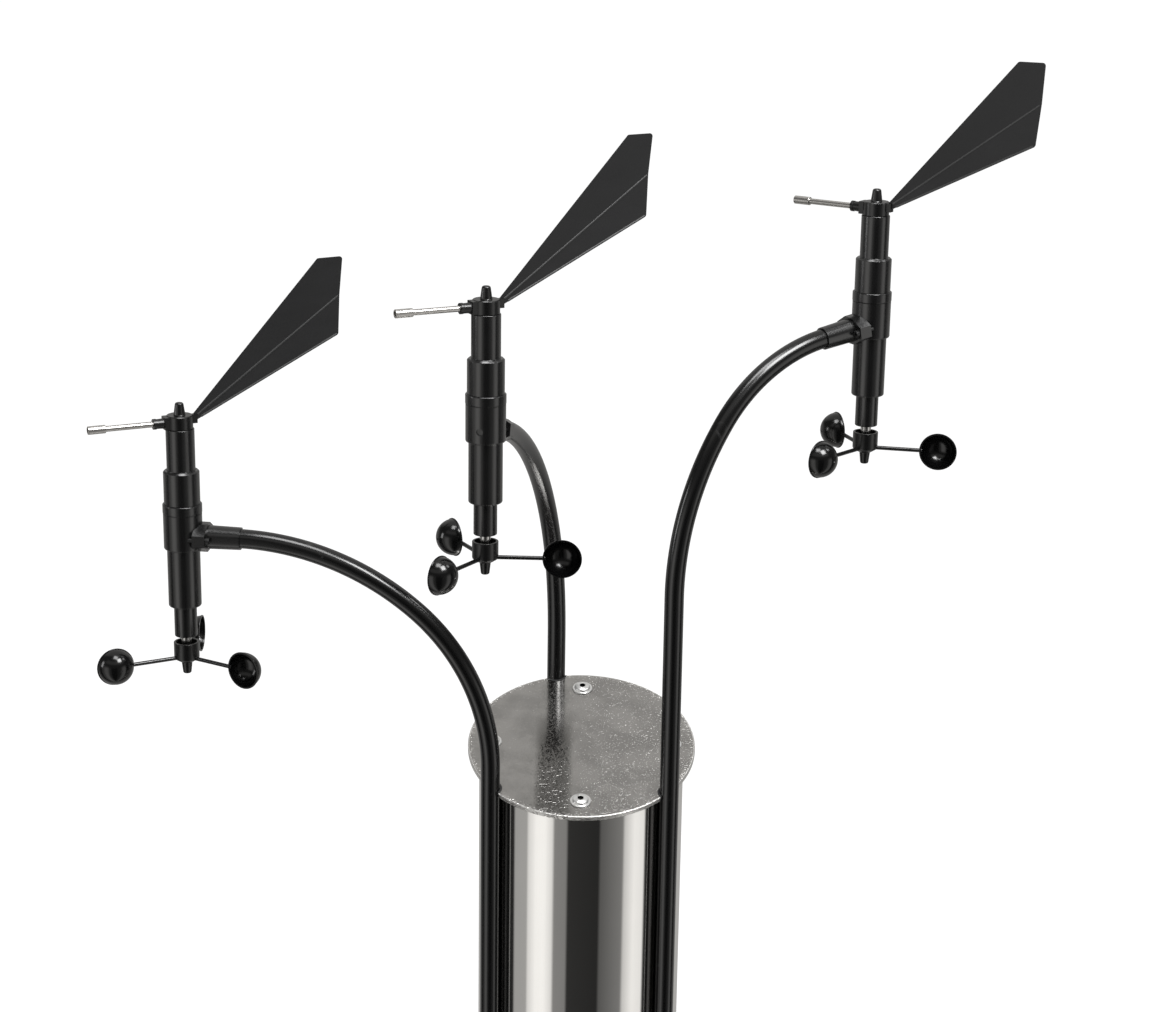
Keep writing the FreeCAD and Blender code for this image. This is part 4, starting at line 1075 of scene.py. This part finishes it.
@dataclass
class Column:
    """Round column with its sloping cap plate, screws, clamps and base flange."""

    outer_r: float = 0.10955
    wall: float = 0.003
    plate_height: float = PLATE_LEVEL
    plate_tilt: float = PLATE_TILT
    plate_thick: float = 0.005
    screw_circle_r: float = PLATE_SCREW_CIRCLE_R
    flange_thick: float = 0.012
    steps: int = 192
    clamp_height: float = 0.050
    clamp_lug_r: float = 0.116
    clamp_screw_off: float = 0.019
    screw: CapScrew = field(default_factory=CapScrew)

    @property
    def plate_frame(self) -> Matrix:
        """The cap plate's own frame: its top face at zero."""
        return shift(0.0, 0.0, self.plate_height) @ turn("X", self.plate_tilt)

    def top_level(self, y: float) -> float:
        """Where the column ends under the cap plate, at a place across it."""
        tilt = math.radians(self.plate_tilt)
        return self.plate_height - self.plate_thick / math.cos(tilt) + y * math.tan(tilt)

    def tube_mesh(self) -> bpy.types.Mesh:
        """The column's tube, its top cut to the slope.

        Returns:
            The tube, in place.
        """
        bm = bmesh.new()
        walls = []
        for radius in (self.outer_r, self.outer_r - self.wall):
            ends = ([], [])
            for k in range(self.steps):
                x = radius * math.cos(math.tau * k / self.steps)
                y = radius * math.sin(math.tau * k / self.steps)
                ends[0].append(bm.verts.new((x, y, self.flange_thick)))
                ends[1].append(bm.verts.new((x, y, self.top_level(y))))
            walls.append(ends)
        (outer_low, outer_high), (inner_low, inner_high) = walls
        for k in range(self.steps):
            n = (k + 1) % self.steps
            bm.faces.new((outer_low[k], outer_low[n], outer_high[n], outer_high[k]))
            bm.faces.new((inner_low[n], inner_low[k], inner_high[k], inner_high[n]))
            bm.faces.new((outer_high[k], outer_high[n], inner_high[n], inner_high[k]))
            bm.faces.new((outer_low[n], outer_low[k], inner_low[k], inner_low[n]))
        return closed_mesh(bm, "column")

    def build(self) -> None:
        """Add the column's pieces."""
        add_piece("column", self.tube_mesh(), Finishes.COLUMN, "station", "column_steel",
                  ["column_tube"])
        add_piece("cap_plate_sheet", cad_copy("cap_plate"), Finishes.PLATE, "station",
                  "plate_steel", ["cap_plate"], Softening(0.0007, 3, 30.0))
        add_piece("notch_edging", cad_copy("notch_grommets"), Finishes.RUBBER, "station",
                  "grommet_rubber", ["notch_grommets"], Softening(0.0003))
        add_piece("base_plate", cad_copy("base_flange"), Finishes.BRUSHED, "station",
                  "plate_steel", ["base_flange"], Softening(0.0008))
        add_piece("saddle_clamps", cad_copy("tube_clamps"), Finishes.BRUSHED, "station",
                  "clamp_steel", ["tube_clamps"], Softening(0.0008))
        one = self.screw.mesh()
        one.transform(shift(self.screw_circle_r, 0.0, 0.0))
        ring = RING.run(one, {"Copies": 4}, Finishes.SCREW)
        ring.transform(self.plate_frame)
        add_piece("plate_screws", ring, Finishes.SCREW, "station", "screw_steel", ["cap_screws"])

    def clamp_screws(self, tube_angle: float) -> bpy.types.Mesh:
        """The two screws of one tube's clamp.

        Args:
            tube_angle: direction of the tube from the axis, in degrees.

        Returns:
            The pair, in place.
        """
        one = SocketScrew().mesh()
        one.transform(shift(0.0, self.clamp_screw_off, 0.0))
        pair = RING.run(one, {"Copies": 2}, Finishes.OXIDE)
        pair.transform(turn("Z", tube_angle) @ shift(self.clamp_lug_r, 0.0, self.clamp_height)
                       @ turn("Y", 90.0))
        return pair


# ------------------------------------------------------------------ heads

@dataclass(frozen=True)
class Setting:
    """How one head is set up: its arm's bends, and how its vane and cups stand at rest."""

    name: str
    tube_angle: float
    bend_r: float
    bend_angle: float
    arm_slope: float
    vane_angle: float
    cup_angle: float

    @property
    def base(self) -> Vector:
        """The middle of the head's cup spokes."""
        return joint_place(f"{self.name}_cup_spin")


@dataclass
class Arm:
    """Bent tube from the column's foot to the head, and the socket that holds it."""

    setting: Setting
    tube_r: float = 0.010
    circle_r: float = 0.120
    foot: float = 0.002
    arm_height: float = 0.1315
    straight: float = 0.058
    stop: float = 0.034
    saddle_out: float = 0.027
    screw_off: float = 0.0165
    bend_steps: int = 40
    sides: int = 56

    @property
    def foot_place(self) -> Vector:
        """Where the tube stands."""
        angle = math.radians(self.setting.tube_angle)
        return Vector((self.circle_r * math.cos(angle), self.circle_r * math.sin(angle), self.foot))

    @property
    def bearing(self) -> float:
        """Direction from the head to the tube's foot, in degrees."""
        run = self.foot_place - self.setting.base
        return math.degrees(math.atan2(run.y, run.x))

    @property
    def axis(self) -> Matrix:
        """The arm's own axis at the head: +Z runs outwards from the head's axis."""
        return (Matrix.Translation(self.setting.base) @ turn("Z", self.bearing)
                @ shift(0.0, 0.0, self.arm_height) @ turn("Y", 90.0 + self.setting.arm_slope))

    def route(self) -> list[Vector]:
        """The tube's middle line: upright, two tangent bends, then straight into the socket.

        Returns:
            Points from the foot upwards, with the foot at zero and the head towards +X.
        """
        base = self.setting.base
        run = self.foot_place - base
        reach = math.hypot(run.x, run.y)
        slope = math.radians(self.setting.arm_slope)
        bend = math.radians(self.setting.bend_angle)
        first = self.setting.bend_r
        across = reach - first * (1 - math.cos(bend)) - self.straight * math.cos(slope)
        second = across / (math.cos(bend) - math.sin(slope))
        top = base.z + self.arm_height - self.foot
        rise = (top - first * math.sin(bend) - second * (math.cos(slope) - math.sin(bend))
                - self.straight * math.sin(slope))
        points = [Vector((0.0, 0.0, 0.0))]
        for k in range(self.bend_steps + 1):
            angle = bend * k / self.bend_steps
            points.append(Vector((first * (1 - math.cos(angle)), 0.0,
                                  rise + first * math.sin(angle))))
        knee = points[-1].copy()
        for k in range(1, self.bend_steps + 1):
            angle = bend + (math.pi / 2 - slope - bend) * k / self.bend_steps
            points.append(knee + Vector((second * (math.cos(bend) - math.cos(angle)), 0.0,
                                         second * (math.sin(angle) - math.sin(bend)))))
        points.append(Vector((reach - self.stop * math.cos(slope), 0.0,
                              top - self.stop * math.sin(slope))))
        return points

    def build(self) -> list[bpy.types.Mesh]:
        """Add the arm's pieces.

        Returns:
            The meshes of its socket screws, which share one piece.
        """
        name = self.setting.name
        tube = SWEEP.run(path_mesh(self.route()), {"Radius": self.tube_r, "Sides": self.sides},
                         Finishes.ARM)
        place = Matrix.Translation(self.foot_place) @ turn("Z", self.bearing + 180.0)
        tube.transform(place)
        add_piece(f"{name}_arm", outward(tube), Finishes.ARM, "station", "arm_black",
                  [f"{name}_arm_tube"])
        add_piece(f"{name}_saddle", cad_copy(f"{name}_arm_socket"), Finishes.HOUSING, "station",
                  "housing_black", [f"{name}_arm_socket"], Softening(0.0005))
        one = SocketScrew().mesh()
        one.transform(shift(0.0, self.screw_off, 0.0))
        pair = RING.run(one, {"Copies": 2}, Finishes.OXIDE)
        pair.transform(self.axis @ shift(0.0, 0.0, self.saddle_out))
        return [pair]


@dataclass
class Housings:
    """The three fixed housings of a head and the ring between two of them."""

    setting: Setting
    neck_r: float = 0.0146
    neck_top: float = 0.2449
    neck_bore_r: float = 0.01102
    shoulder: float = 0.2012
    shoulder_chamfer: float = 0.0016
    upper_r: float = 0.0185
    collar_top: float = 0.1660
    collar_bottom: float = 0.1559
    collar_r: float = 0.0202
    inner_r: float = 0.0161
    lower_r: float = 0.0169
    lower_inner_r: float = 0.0145
    centre_bottom: float = 0.1181
    lower_bottom: float = 0.0563
    lower_neck_r: float = 0.0117
    lower_neck_bottom: float = 0.02375
    cup_bore_r: float = 0.00752
    edge: float = 0.00035
    spigot: float = 0.004
    roof: float = 0.0024
    spigot_wall: float = 0.002
    lower_floor: float = 0.006
    foot_round: float = 0.0020
    ring_top_round: float = 0.0010
    ring_low_round: float = 0.0013
    ring_clear: float = 0.0001

    def upper(self) -> bpy.types.Mesh:
        """Upper housing: neck, chamfered shoulder and barrel.

        Returns:
            The housing, in the head's own levels.
        """
        chamfer = self.shoulder_chamfer
        return lathe([
            (self.neck_bore_r, self.shoulder - self.roof, 0.0),
            (self.inner_r, self.shoulder - self.roof, 0.0),
            (self.inner_r, self.collar_top, 0.0),
            (self.upper_r, self.collar_top, self.edge),
            (self.upper_r, self.shoulder - chamfer, self.edge),
            (self.upper_r - chamfer, self.shoulder, self.edge),
            (self.neck_r, self.shoulder, 0.0006),
            (self.neck_r, self.neck_top, 0.0007),
            (self.neck_bore_r, self.neck_top, self.edge),
        ], closed=True)

    def ring(self) -> bpy.types.Mesh:
        """The ring between the upper and centre housings.

        Returns:
            The ring, in the head's own levels.
        """
        return lathe([
            (self.inner_r + self.ring_clear, self.collar_bottom, 0.0),
            (self.collar_r, self.collar_bottom, self.ring_low_round),
            (self.collar_r, self.collar_top, self.ring_top_round),
            (self.inner_r + self.ring_clear, self.collar_top, 0.0),
        ], closed=True)

    def lower(self) -> bpy.types.Mesh:
        """Lower housing: barrel with a rounded foot, then a narrow neck.

        Returns:
            The housing, in the head's own levels.
        """
        return lathe([
            (self.cup_bore_r, self.lower_neck_bottom, 0.0002),
            (self.lower_neck_r, self.lower_neck_bottom, 0.0008),
            (self.lower_neck_r, self.lower_bottom, 0.0004),
            (self.lower_r, self.lower_bottom, self.foot_round),
            (self.lower_r, self.centre_bottom, 0.0),
            (self.lower_inner_r, self.centre_bottom, 0.0),
            (self.lower_inner_r, self.centre_bottom + self.spigot, 0.0),
            (self.lower_inner_r - self.spigot_wall, self.centre_bottom + self.spigot, 0.0),
            (self.lower_inner_r - self.spigot_wall, self.lower_bottom + self.lower_floor, 0.0),
            (self.cup_bore_r, self.lower_bottom + self.lower_floor, 0.0),
        ], closed=True)

    def build(self) -> list[bpy.types.Mesh]:
        """Add the housings.

        Returns:
            The meshes of the ring, which shares one piece with the other heads' rings.
        """
        name = self.setting.name
        place = Matrix.Translation(self.setting.base)
        for part, mesh in (("upper", self.upper()), ("lower", self.lower())):
            mesh.transform(place)
            add_piece(f"{name}_{part}_barrel", mesh, Finishes.HOUSING, "station",
                      "housing_black", [f"{name}_{part}_housing"])
        add_piece(f"{name}_centre_barrel", cad_copy(f"{name}_centre_housing"), Finishes.HOUSING,
                  "station", "housing_black", [f"{name}_centre_housing"],
                  Softening(0.0008, 3, 35.0))
        return [placed(self.ring(), place)]


@dataclass
class Vane:
    """Wind vane: hub, cap, folded tail blade, rod and counterweight. +X runs along the blade."""

    setting: Setting
    hub_top: float = 0.2590
    cap_base_r: float = 0.0059
    cap_tip_r: float = 0.0042
    cap_high: float = 0.0129
    cap_foot: float = 0.0008
    cap_flare: float = 0.0004
    cap_round: float = 0.0024
    rod_height: float = 0.2516
    rod_r: float = 0.003
    rod_in: float = 0.008
    rod_reach: float = 0.092
    weight_r: float = 0.0043
    weight_long: float = 0.018
    weight_lip: float = 0.003
    weight_bore_r: float = 0.0026
    weight_clear: float = 0.00002
    fold_line: tuple[Corner, Corner] = ((0.0190, 0.0, 0.2580), (0.1728, 0.0, 0.3693))
    foot_line: tuple[Corner, Corner] = ((0.0230, -0.0002, 0.2557), (0.1700, -0.0027, 0.3297))
    bead_r: float = 0.00125
    bead_sides: int = 16

    @property
    def place(self) -> Matrix:
        """The vane's own frame."""
        return Matrix.Translation(self.setting.base) @ turn("Z", self.setting.vane_angle)

    def cap(self) -> bpy.types.Mesh:
        """Tapered cap over the spindle's end.

        Returns:
            The cap, in the head's own levels.
        """
        return lathe([
            (0.0, self.hub_top, 0.0),
            (self.cap_base_r + self.cap_flare, self.hub_top, 0.0),
            (self.cap_base_r, self.hub_top + self.cap_foot, 0.0003),
            (self.cap_tip_r, self.hub_top + self.cap_high, self.cap_round),
            (0.0, self.hub_top + self.cap_high, 0.0),
        ], steps=SMALL_TURN_STEPS)

    def rod(self) -> bpy.types.Mesh:
        """The rod, along its own Z.

        Returns:
            The rod, starting inside the hub.
        """
        return lathe([
            (0.0, self.rod_in, 0.0),
            (self.rod_r, self.rod_in, 0.0),
            (self.rod_r, self.rod_reach, 0.0003),
            (0.0, self.rod_reach, 0.0),
        ], steps=SMALL_TURN_STEPS)

    def weight(self) -> bpy.types.Mesh:
        """The counterweight on the rod's end, with a recess in its face.

        Returns:
            The counterweight, along the rod.
        """
        end = self.rod_reach + self.weight_lip
        bore = self.rod_r + self.weight_clear
        return lathe([
            (bore, end - self.weight_long, 0.0),
            (self.weight_r, end - self.weight_long, 0.0006),
            (self.weight_r, end, 0.0006),
            (self.weight_bore_r, end, 0.0002),
            (self.weight_bore_r, self.rod_reach, 0.0),
            (bore, self.rod_reach, 0.0),
        ], closed=True, steps=SMALL_TURN_STEPS)

    def beads(self) -> bpy.types.Mesh:
        """Beads pressed along the blade's fold and along its lower edge.

        Returns:
            Both beads, in the vane's own frame.
        """
        bars = []
        for start, end in (self.fold_line, self.foot_line):
            route = path_mesh([Vector(start), Vector(end)])
            bars.append(SWEEP.run(route, {"Radius": self.bead_r, "Sides": self.bead_sides},
                                  Finishes.BEAD))
        return outward(joined(bars))

    def build(self) -> None:
        """Add the vane's pieces."""
        name = self.setting.name
        body = f"{name}_vane"
        out = self.place @ shift(0.0, 0.0, self.rod_height) @ turn("Y", -90.0)
        add_piece(f"{name}_hub_block", cad_copy(f"{name}_vane_hub"), Finishes.MOULDED, body,
                  "hub_black", [f"{name}_vane_hub"], Softening(0.0006, 3, 35.0))
        add_piece(f"{name}_spindle_cap", placed(self.cap(), self.place), Finishes.MOULDED, body,
                  "hub_black", [f"{name}_vane_cap"])
        add_piece(f"{name}_rod", placed(self.rod(), out), Finishes.ROD, body, "polished_rod",
                  [f"{name}_vane_rod"])
        add_piece(f"{name}_weight", placed(self.weight(), out), Finishes.ROD, body,
                  "polished_rod", [f"{name}_vane_counterweight"])
        add_piece(f"{name}_blade", cad_copy(f"{name}_vane_blade"), Finishes.BLADE, body,
                  "blade_black", [f"{name}_vane_blade"], Softening(0.0004, 2, 50.0))
        # The beads get the lighter bead finish: a painted highlight along the fold and the lower
        # edge.
        add_piece(f"{name}_blade_beads", placed(self.beads(), self.place), Finishes.BEAD, body,
                  "blade_black")


@dataclass
class Rotor:
    """Cup rotor: hub, nose, spokes, cups and the spindle that they turn on."""

    setting: Setting
    hub_r: float = 0.0131
    hub_top: float = 0.0167
    hub_low: float = 0.0046
    hub_low_r: float = 0.0074
    hub_straight: float = 0.001
    hub_round: float = 0.0026
    recess_r: float = 0.0108
    recess_floor: float = 0.011
    bore_r: float = 0.003
    nose_r: float = 0.0056
    nose_tip_r: float = 0.0042
    nose_long: float = 0.013
    nose_round: float = 0.0017
    nose_foot: float = 0.0009
    nose_flare: float = 0.0005
    spoke_r: float = 0.0021
    spoke_in: float = 0.005
    spoke_out: float = 0.0598
    circle_r: float = 0.0763
    cup_r: float = 0.0189
    cup_wall: float = 0.0012
    lip_r: float = 0.0196
    lip_thick: float = 0.0014
    mouth_off: float = 0.0026
    nub_r: float = 0.0013
    nub_high: float = 0.0009
    cups: int = 3
    rim_step: float = 0.0002
    arc_steps: int = 28
    cup_turn_steps: int = 72
    shaft_collar_r: float = 0.0055
    collar_top: float = 0.02325
    shaft_top: float = 0.132
    shaft_r: float = 0.00297

    @property
    def place(self) -> Matrix:
        """The rotor's own frame."""
        return Matrix.Translation(self.setting.base) @ turn("Z", self.setting.cup_angle)

    def hub(self) -> bpy.types.Mesh:
        """The hub: a cup-shaped boss with a thin rim.

        Returns:
            The hub, in the head's own levels.
        """
        return lathe([
            (self.bore_r, -self.hub_low, 0.0),
            (self.hub_low_r, -self.hub_low, 0.0006),
            (self.hub_r, -self.hub_straight, self.hub_round),
            (self.hub_r, self.hub_top, 0.0005),
            (self.recess_r, self.hub_top, 0.0004),
            (self.recess_r, self.recess_floor, 0.0004),
            (self.bore_r, self.recess_floor, 0.0),
        ], closed=True)

    def nose(self) -> bpy.types.Mesh:
        """The tapered nose under the hub.

        Returns:
            The nose, in the head's own levels.
        """
        tip = -self.hub_low - self.nose_long
        return lathe([
            (0.0, tip, 0.0),
            (self.nose_tip_r, tip, self.nose_round),
            (self.nose_r, -self.hub_low - self.nose_foot, 0.0003),
            (self.nose_r + self.nose_flare, -self.hub_low, 0.0),
            (0.0, -self.hub_low, 0.0),
        ], steps=SMALL_TURN_STEPS)

    def spindle(self) -> bpy.types.Mesh:
        """The spindle with its bright collar.

        Returns:
            The spindle, in the head's own levels.
        """
        return lathe([
            (0.0, 0.0, 0.0),
            (self.shaft_r, 0.0, 0.0),
            (self.shaft_r, self.recess_floor, 0.0),
            (self.shaft_collar_r, self.recess_floor, 0.0004),
            (self.shaft_collar_r, self.collar_top, 0.0005),
            (self.shaft_r, self.collar_top, 0.0),
            (self.shaft_r, self.shaft_top, 0.0002),
            (0.0, self.shaft_top, 0.0),
        ], steps=SMALL_TURN_STEPS)

    def spoke(self) -> bpy.types.Mesh:
        """One spoke along +X.

        Returns:
            The spoke, in place for the first cup.
        """
        mesh = lathe([
            (0.0, self.spoke_in, 0.0),
            (self.spoke_r, self.spoke_in, 0.0),
            (self.spoke_r, self.spoke_out, 0.0005),
            (0.0, self.spoke_out, 0.0),
        ], steps=32, round_steps=3)
        mesh.transform(turn("Y", 90.0))
        return mesh

    def cup(self) -> bpy.types.Mesh:
        """One cup on the +X spoke, mouth towards -Y.

        Returns:
            The cup, in place on the first spoke.
        """
        inner_r = self.cup_r - self.cup_wall
        start = math.asin(self.lip_thick / self.cup_r)
        nub_angle = math.acos(self.nub_r / self.cup_r)
        # The lip's two edges are eased by a few short steps.
        outline = [(inner_r, 0.0), (self.lip_r - 0.0004, 0.0), (self.lip_r - 0.0001, 0.00013),
                   (self.lip_r, 0.0005), (self.lip_r, self.lip_thick - 0.0004),
                   (self.lip_r - 0.0002, self.lip_thick - 0.0001),
                   (self.lip_r - 0.0004, self.lip_thick)]
        for k in range(self.arc_steps + 1):
            angle = start + (nub_angle - start) * k / self.arc_steps
            outline.append((self.cup_r * math.cos(angle), self.cup_r * math.sin(angle)))
        tip = self.cup_r + self.nub_high
        outline += [(self.nub_r * 0.85, tip - 0.0005), (self.nub_r * 0.6, tip - 0.0001), (0.0, tip)]
        inside = [(inner_r * math.sin(math.pi / 2 * k / self.arc_steps),
                   inner_r * math.cos(math.pi / 2 * k / self.arc_steps))
                  for k in range(self.arc_steps)]
        mesh = turned(outline[:0:-1] + [(inner_r + self.rim_step, 0.0)] + inside[::-1],
                      False, self.cup_turn_steps)
        mesh.transform(shift(self.circle_r, -self.mouth_off, 0.0) @ turn("X", -90.0))
        return mesh

    def build(self) -> None:
        """Add the rotor's pieces."""
        name = self.setting.name
        body = f"{name}_rotor"
        for part, mesh, finish, slot, node in (
                ("rotor_hub", self.hub(), Finishes.MOULDED, "hub_black", "cup_hub"),
                ("nose", self.nose(), Finishes.MOULDED, "hub_black", "cup_nose"),
                ("spindle", self.spindle(), Finishes.SPINDLE, "spindle_steel", "cup_shaft"),
                ("spokes", RING.run(self.spoke(), {"Copies": self.cups}, Finishes.ARM),
                 Finishes.ARM, "spoke_black", "cup_spokes"),
                ("cup_set", RING.run(self.cup(), {"Copies": self.cups}, Finishes.CUP),
                 Finishes.CUP, "cup_black", "cups")):
            add_piece(f"{name}_{part}", placed(mesh, self.place), finish, body, slot,
                      [f"{name}_{node}"])


# ------------------------------------------------------------------ studio

@dataclass(frozen=True)
class SoftBox:
    """A square soft light, placed by the direction it shines from."""

    name: str
    direction: tuple[float, float, float]
    distance: float
    width: float
    height: float
    radiance: float

    def build(self, target: Vector) -> None:
        """Add the light, facing the target.

        Args:
            target: the point that the light faces.
        """
        light = bpy.data.lights.new(self.name, "AREA")
        light.shape = "RECTANGLE"
        light.size = self.width
        light.size_y = self.height
        light.energy = self.radiance * self.width * self.height * math.pi
        lamp = bpy.data.objects.new(self.name, light)
        bpy.context.scene.collection.objects.link(lamp)
        away = Vector(self.direction).normalized()
        lamp.location = target + away * self.distance
        lamp.rotation_euler = away.to_track_quat("Z", "Y").to_euler()
        lamp.visible_camera = False


@dataclass
class Studio:
    """Pale floor and dome, soft lights, the surroundings that metal reflects, and the camera."""

    radius: float = 60.0
    lens: float = 74.50
    sensor: float = 36.0
    camera_x: float = 0.0030
    camera_y: float = -2.4448
    camera_above_plate: float = 0.9516
    pitch: float = 15.70
    roll: float = 0.90
    tint: Colour = (1.0, 0.985, 0.96)
    # What surrounds the column low down: (azimuth in degrees, brightness), 0 towards the camera.
    bands: tuple[tuple[float, float], ...] = (
        (-180.0, 0.42), (-125.0, 0.42), (-108.0, 0.30), (-105.0, 0.03), (-101.5, 0.03),
        (-100.5, 0.40), (-97.5, 0.40), (-96.5, 0.02), (-80.0, 0.02), (-78.0, 0.36),
        (-62.0, 0.37), (-60.0, 0.72), (-50.0, 1.00), (-40.0, 1.02), (-31.0, 0.76),
        (-28.5, 0.24), (-15.0, 0.22), (-13.0, 0.030), (21.5, 0.022), (23.5, 0.10),
        (49.0, 0.20), (52.0, 0.60), (64.0, 0.94), (77.0, 0.86), (79.0, 0.02), (95.5, 0.02),
        (96.5, 0.35), (99.0, 0.35), (100.0, 0.02), (108.0, 0.30), (125.0, 0.42), (180.0, 0.42))
    overhead: float = 0.10
    card: tuple[float, float, float] = (0.0, 0.64, 0.77)
    card_glow: float = 0.44
    front_glow: float = 0.30
    floor_glow: float = 0.90
    floor_albedo: float = 0.14
    dome_glow: float = 1.0
    # What the lights face, measured from the cap plate's middle.
    target: tuple[float, float, float] = (-0.05, -0.03, 0.30)
    lights: tuple[SoftBox, ...] = (
        SoftBox("key", (0.38, -0.44, 0.81), 2.3, 0.95, 0.95, 17.0),
        SoftBox("overhead", (-0.06, -0.26, 0.96), 2.3, 0.90, 0.90, 8.0),
        SoftBox("right", (0.68, 0.04, 0.73), 2.4, 0.45, 0.45, 6.0),
        SoftBox("left", (-0.97, -0.17, 0.12), 2.4, 0.50, 0.9, 4.0))

    def stage_material(self, name: str, glow: float, albedo: float) -> bpy.types.Material:
        """A pale surface that mostly glows by itself, so that it stays even.

        Args:
            name: the material's name.
            glow: its own brightness.
            albedo: how pale it is in the light.

        Returns:
            The material.
        """
        material = bpy.data.materials.new(name)
        material.use_nodes = True
        shader = Shader(material.node_tree)
        surface = shader.node("ShaderNodeBsdfPrincipled", None, {
            "Base Color": (albedo, albedo, albedo, 1.0), "Roughness": 1.0,
            "Specular IOR Level": 0.0, "Emission Color": (1.0, 1.0, 1.0, 1.0),
            "Emission Strength": glow})
        shader.node("ShaderNodeOutputMaterial", None, {"Surface": surface})
        material.cycles.emission_sampling = "NONE"
        return material

    def add_stage(self, name: str, bm: bmesh.types.BMesh, material: bpy.types.Material) -> None:
        """Add a floor or backdrop that shiny pieces don't mirror.

        Args:
            name: the object's name.
            bm: its mesh; it is freed.
            material: its material.
        """
        mesh = bpy.data.meshes.new(name)
        bm.to_mesh(mesh)
        bm.free()
        mesh.materials.append(material)
        stage = bpy.data.objects.new(name, mesh)
        bpy.context.scene.collection.objects.link(stage)
        stage.visible_glossy = False

    def surroundings(self) -> None:
        """The world that shiny pieces mirror: bands round the column, an even grey above."""
        world = bpy.data.worlds.new("surroundings")
        bpy.context.scene.world = world
        world.use_nodes = True
        shader = Shader(world.node_tree)
        way = shader.node("ShaderNodeTexCoord", output="Generated")
        x = shader.node("ShaderNodeSeparateXYZ", None, {0: way}, output="X")
        y = Wire(shader, x.socket.node.outputs["Y"])
        z = Wire(shader, x.socket.node.outputs["Z"])
        azimuth = shader.node("ShaderNodeMath", {"operation": "ARCTAN2"}, {0: x, 1: 0.0 - y})
        share = azimuth * (1.0 / math.tau) + 0.5
        ramp = shader.node("ShaderNodeValToRGB", {"stops": [
            ((angle + 180.0) / 360.0, tuple(part * level for part in self.tint))
            for angle, level in self.bands]}, {0: share})
        facing = shader.node("ShaderNodeVectorMath", {"operation": "DOT_PRODUCT"}, {
            0: way, 1: self.card}, output="Value")
        card = facing.between(0.62, 0.84)
        front = (z.between(0.42, 0.56) * (1.0 - z.between(0.72, 0.80))
                 * (1.0 - y.between(-0.45, -0.25)))
        upper = card * self.card_glow + front * self.front_glow + self.overhead
        sky = shader.node("ShaderNodeVectorMath", {"operation": "SCALE"}, {
            0: self.tint, "Scale": upper})
        colour = shader.node("ShaderNodeMix", {"data_type": "RGBA"}, {
            0: z.between(0.02, 0.30), 6: ramp, 7: sky}, output=2)
        glow = shader.node("ShaderNodeBackground", None, {0: colour, 1: 1.0})
        shader.node("ShaderNodeOutputWorld", None, {"Surface": glow})

    def camera(self) -> None:
        """The main camera, set by the cap plate's level."""
        data = bpy.data.cameras.new("main")
        data.lens = self.lens
        data.sensor_width = self.sensor
        data.clip_end = 4 * self.radius
        eye = bpy.data.objects.new("main", data)
        bpy.context.scene.collection.objects.link(eye)
        pitch = math.radians(self.pitch)
        roll = math.radians(self.roll)
        forward = Vector((0.0, math.cos(pitch), -math.sin(pitch)))
        level_up = Vector((0.0, math.sin(pitch), math.cos(pitch)))
        right = Vector((math.cos(roll), 0.0, 0.0)) + level_up * math.sin(roll)
        up = right.cross(forward)
        aim = Matrix((right, up, -forward)).transposed().to_4x4()
        place = shift(self.camera_x, self.camera_y, PLATE_LEVEL + self.camera_above_plate)
        eye.matrix_world = place @ aim
        bpy.context.scene.camera = eye

    def build(self) -> None:
        """Add everything round the object."""
        floor = bmesh.new()
        bmesh.ops.create_circle(floor, cap_ends=True, segments=128, radius=self.radius)
        self.add_stage("floor", floor, self.stage_material("floor_pale", self.floor_glow,
                                                            self.floor_albedo))
        dome = bmesh.new()
        bmesh.ops.create_uvsphere(dome, u_segments=64, v_segments=32, radius=self.radius)
        self.add_stage("dome", dome, self.stage_material("dome_pale", self.dome_glow, 0.0))
        target = Vector(self.target) + Vector((0.0, 0.0, PLATE_LEVEL))
        for light in self.lights:
            light.build(target)
        self.surroundings()
        self.camera()
        bpy.context.scene.view_settings.view_transform = "Standard"


SETTINGS = (
    Setting("left", 218.07, 0.223, 49.0, 1.0, 27.0, -31.0),
    Setting("middle", 104.28, 0.298, 50.0, 15.0, 27.5, -1.3),
    Setting("right", 320.48, 0.320, 34.0, 10.0, -34.0, -11.5),
)

# CAD nodes that stay as they are, with the finish each one gets.
KEPT = {
    "cap_support_ring": Finishes.BRUSHED,
    "vane_bearings": Finishes.SPINDLE,
    "cup_bearings": Finishes.SPINDLE,
    "sensor_boards": Finishes.BOARD,
    "left_vane_shaft": Finishes.SPINDLE,
    "middle_vane_shaft": Finishes.SPINDLE,
    "right_vane_shaft": Finishes.SPINDLE,
}


def dress_kept_nodes() -> None:
    """Give the CAD nodes that stay their finishes."""
    for node, finish in KEPT.items():
        mesh = frame["nodes"][node].data
        mesh.materials.clear()
        mesh.materials.append(finish.material())
        LOG.info("kept %s", node)


def main() -> None:
    """Build the station, then the studio round it."""
    logging.basicConfig(level=logging.INFO, format="%(name)s: %(message)s")
    column = Column()
    column.build()
    screws: list[bpy.types.Mesh] = []
    rings: list[bpy.types.Mesh] = []
    for setting in SETTINGS:
        screws.append(column.clamp_screws(setting.tube_angle))
        screws += Arm(setting).build()
        rings += Housings(setting).build()
        Vane(setting).build()
        Rotor(setting).build()
    add_piece("small_screws", joined(screws), Finishes.OXIDE, "station", "screw_black",
              ["socket_screws"])
    add_piece("barrel_rings", joined(rings), Finishes.HOUSING, "station", "housing_black",
              ["collar_rings"])
    dress_kept_nodes()
    Studio().build()


if __name__ == "__main__":
    main()
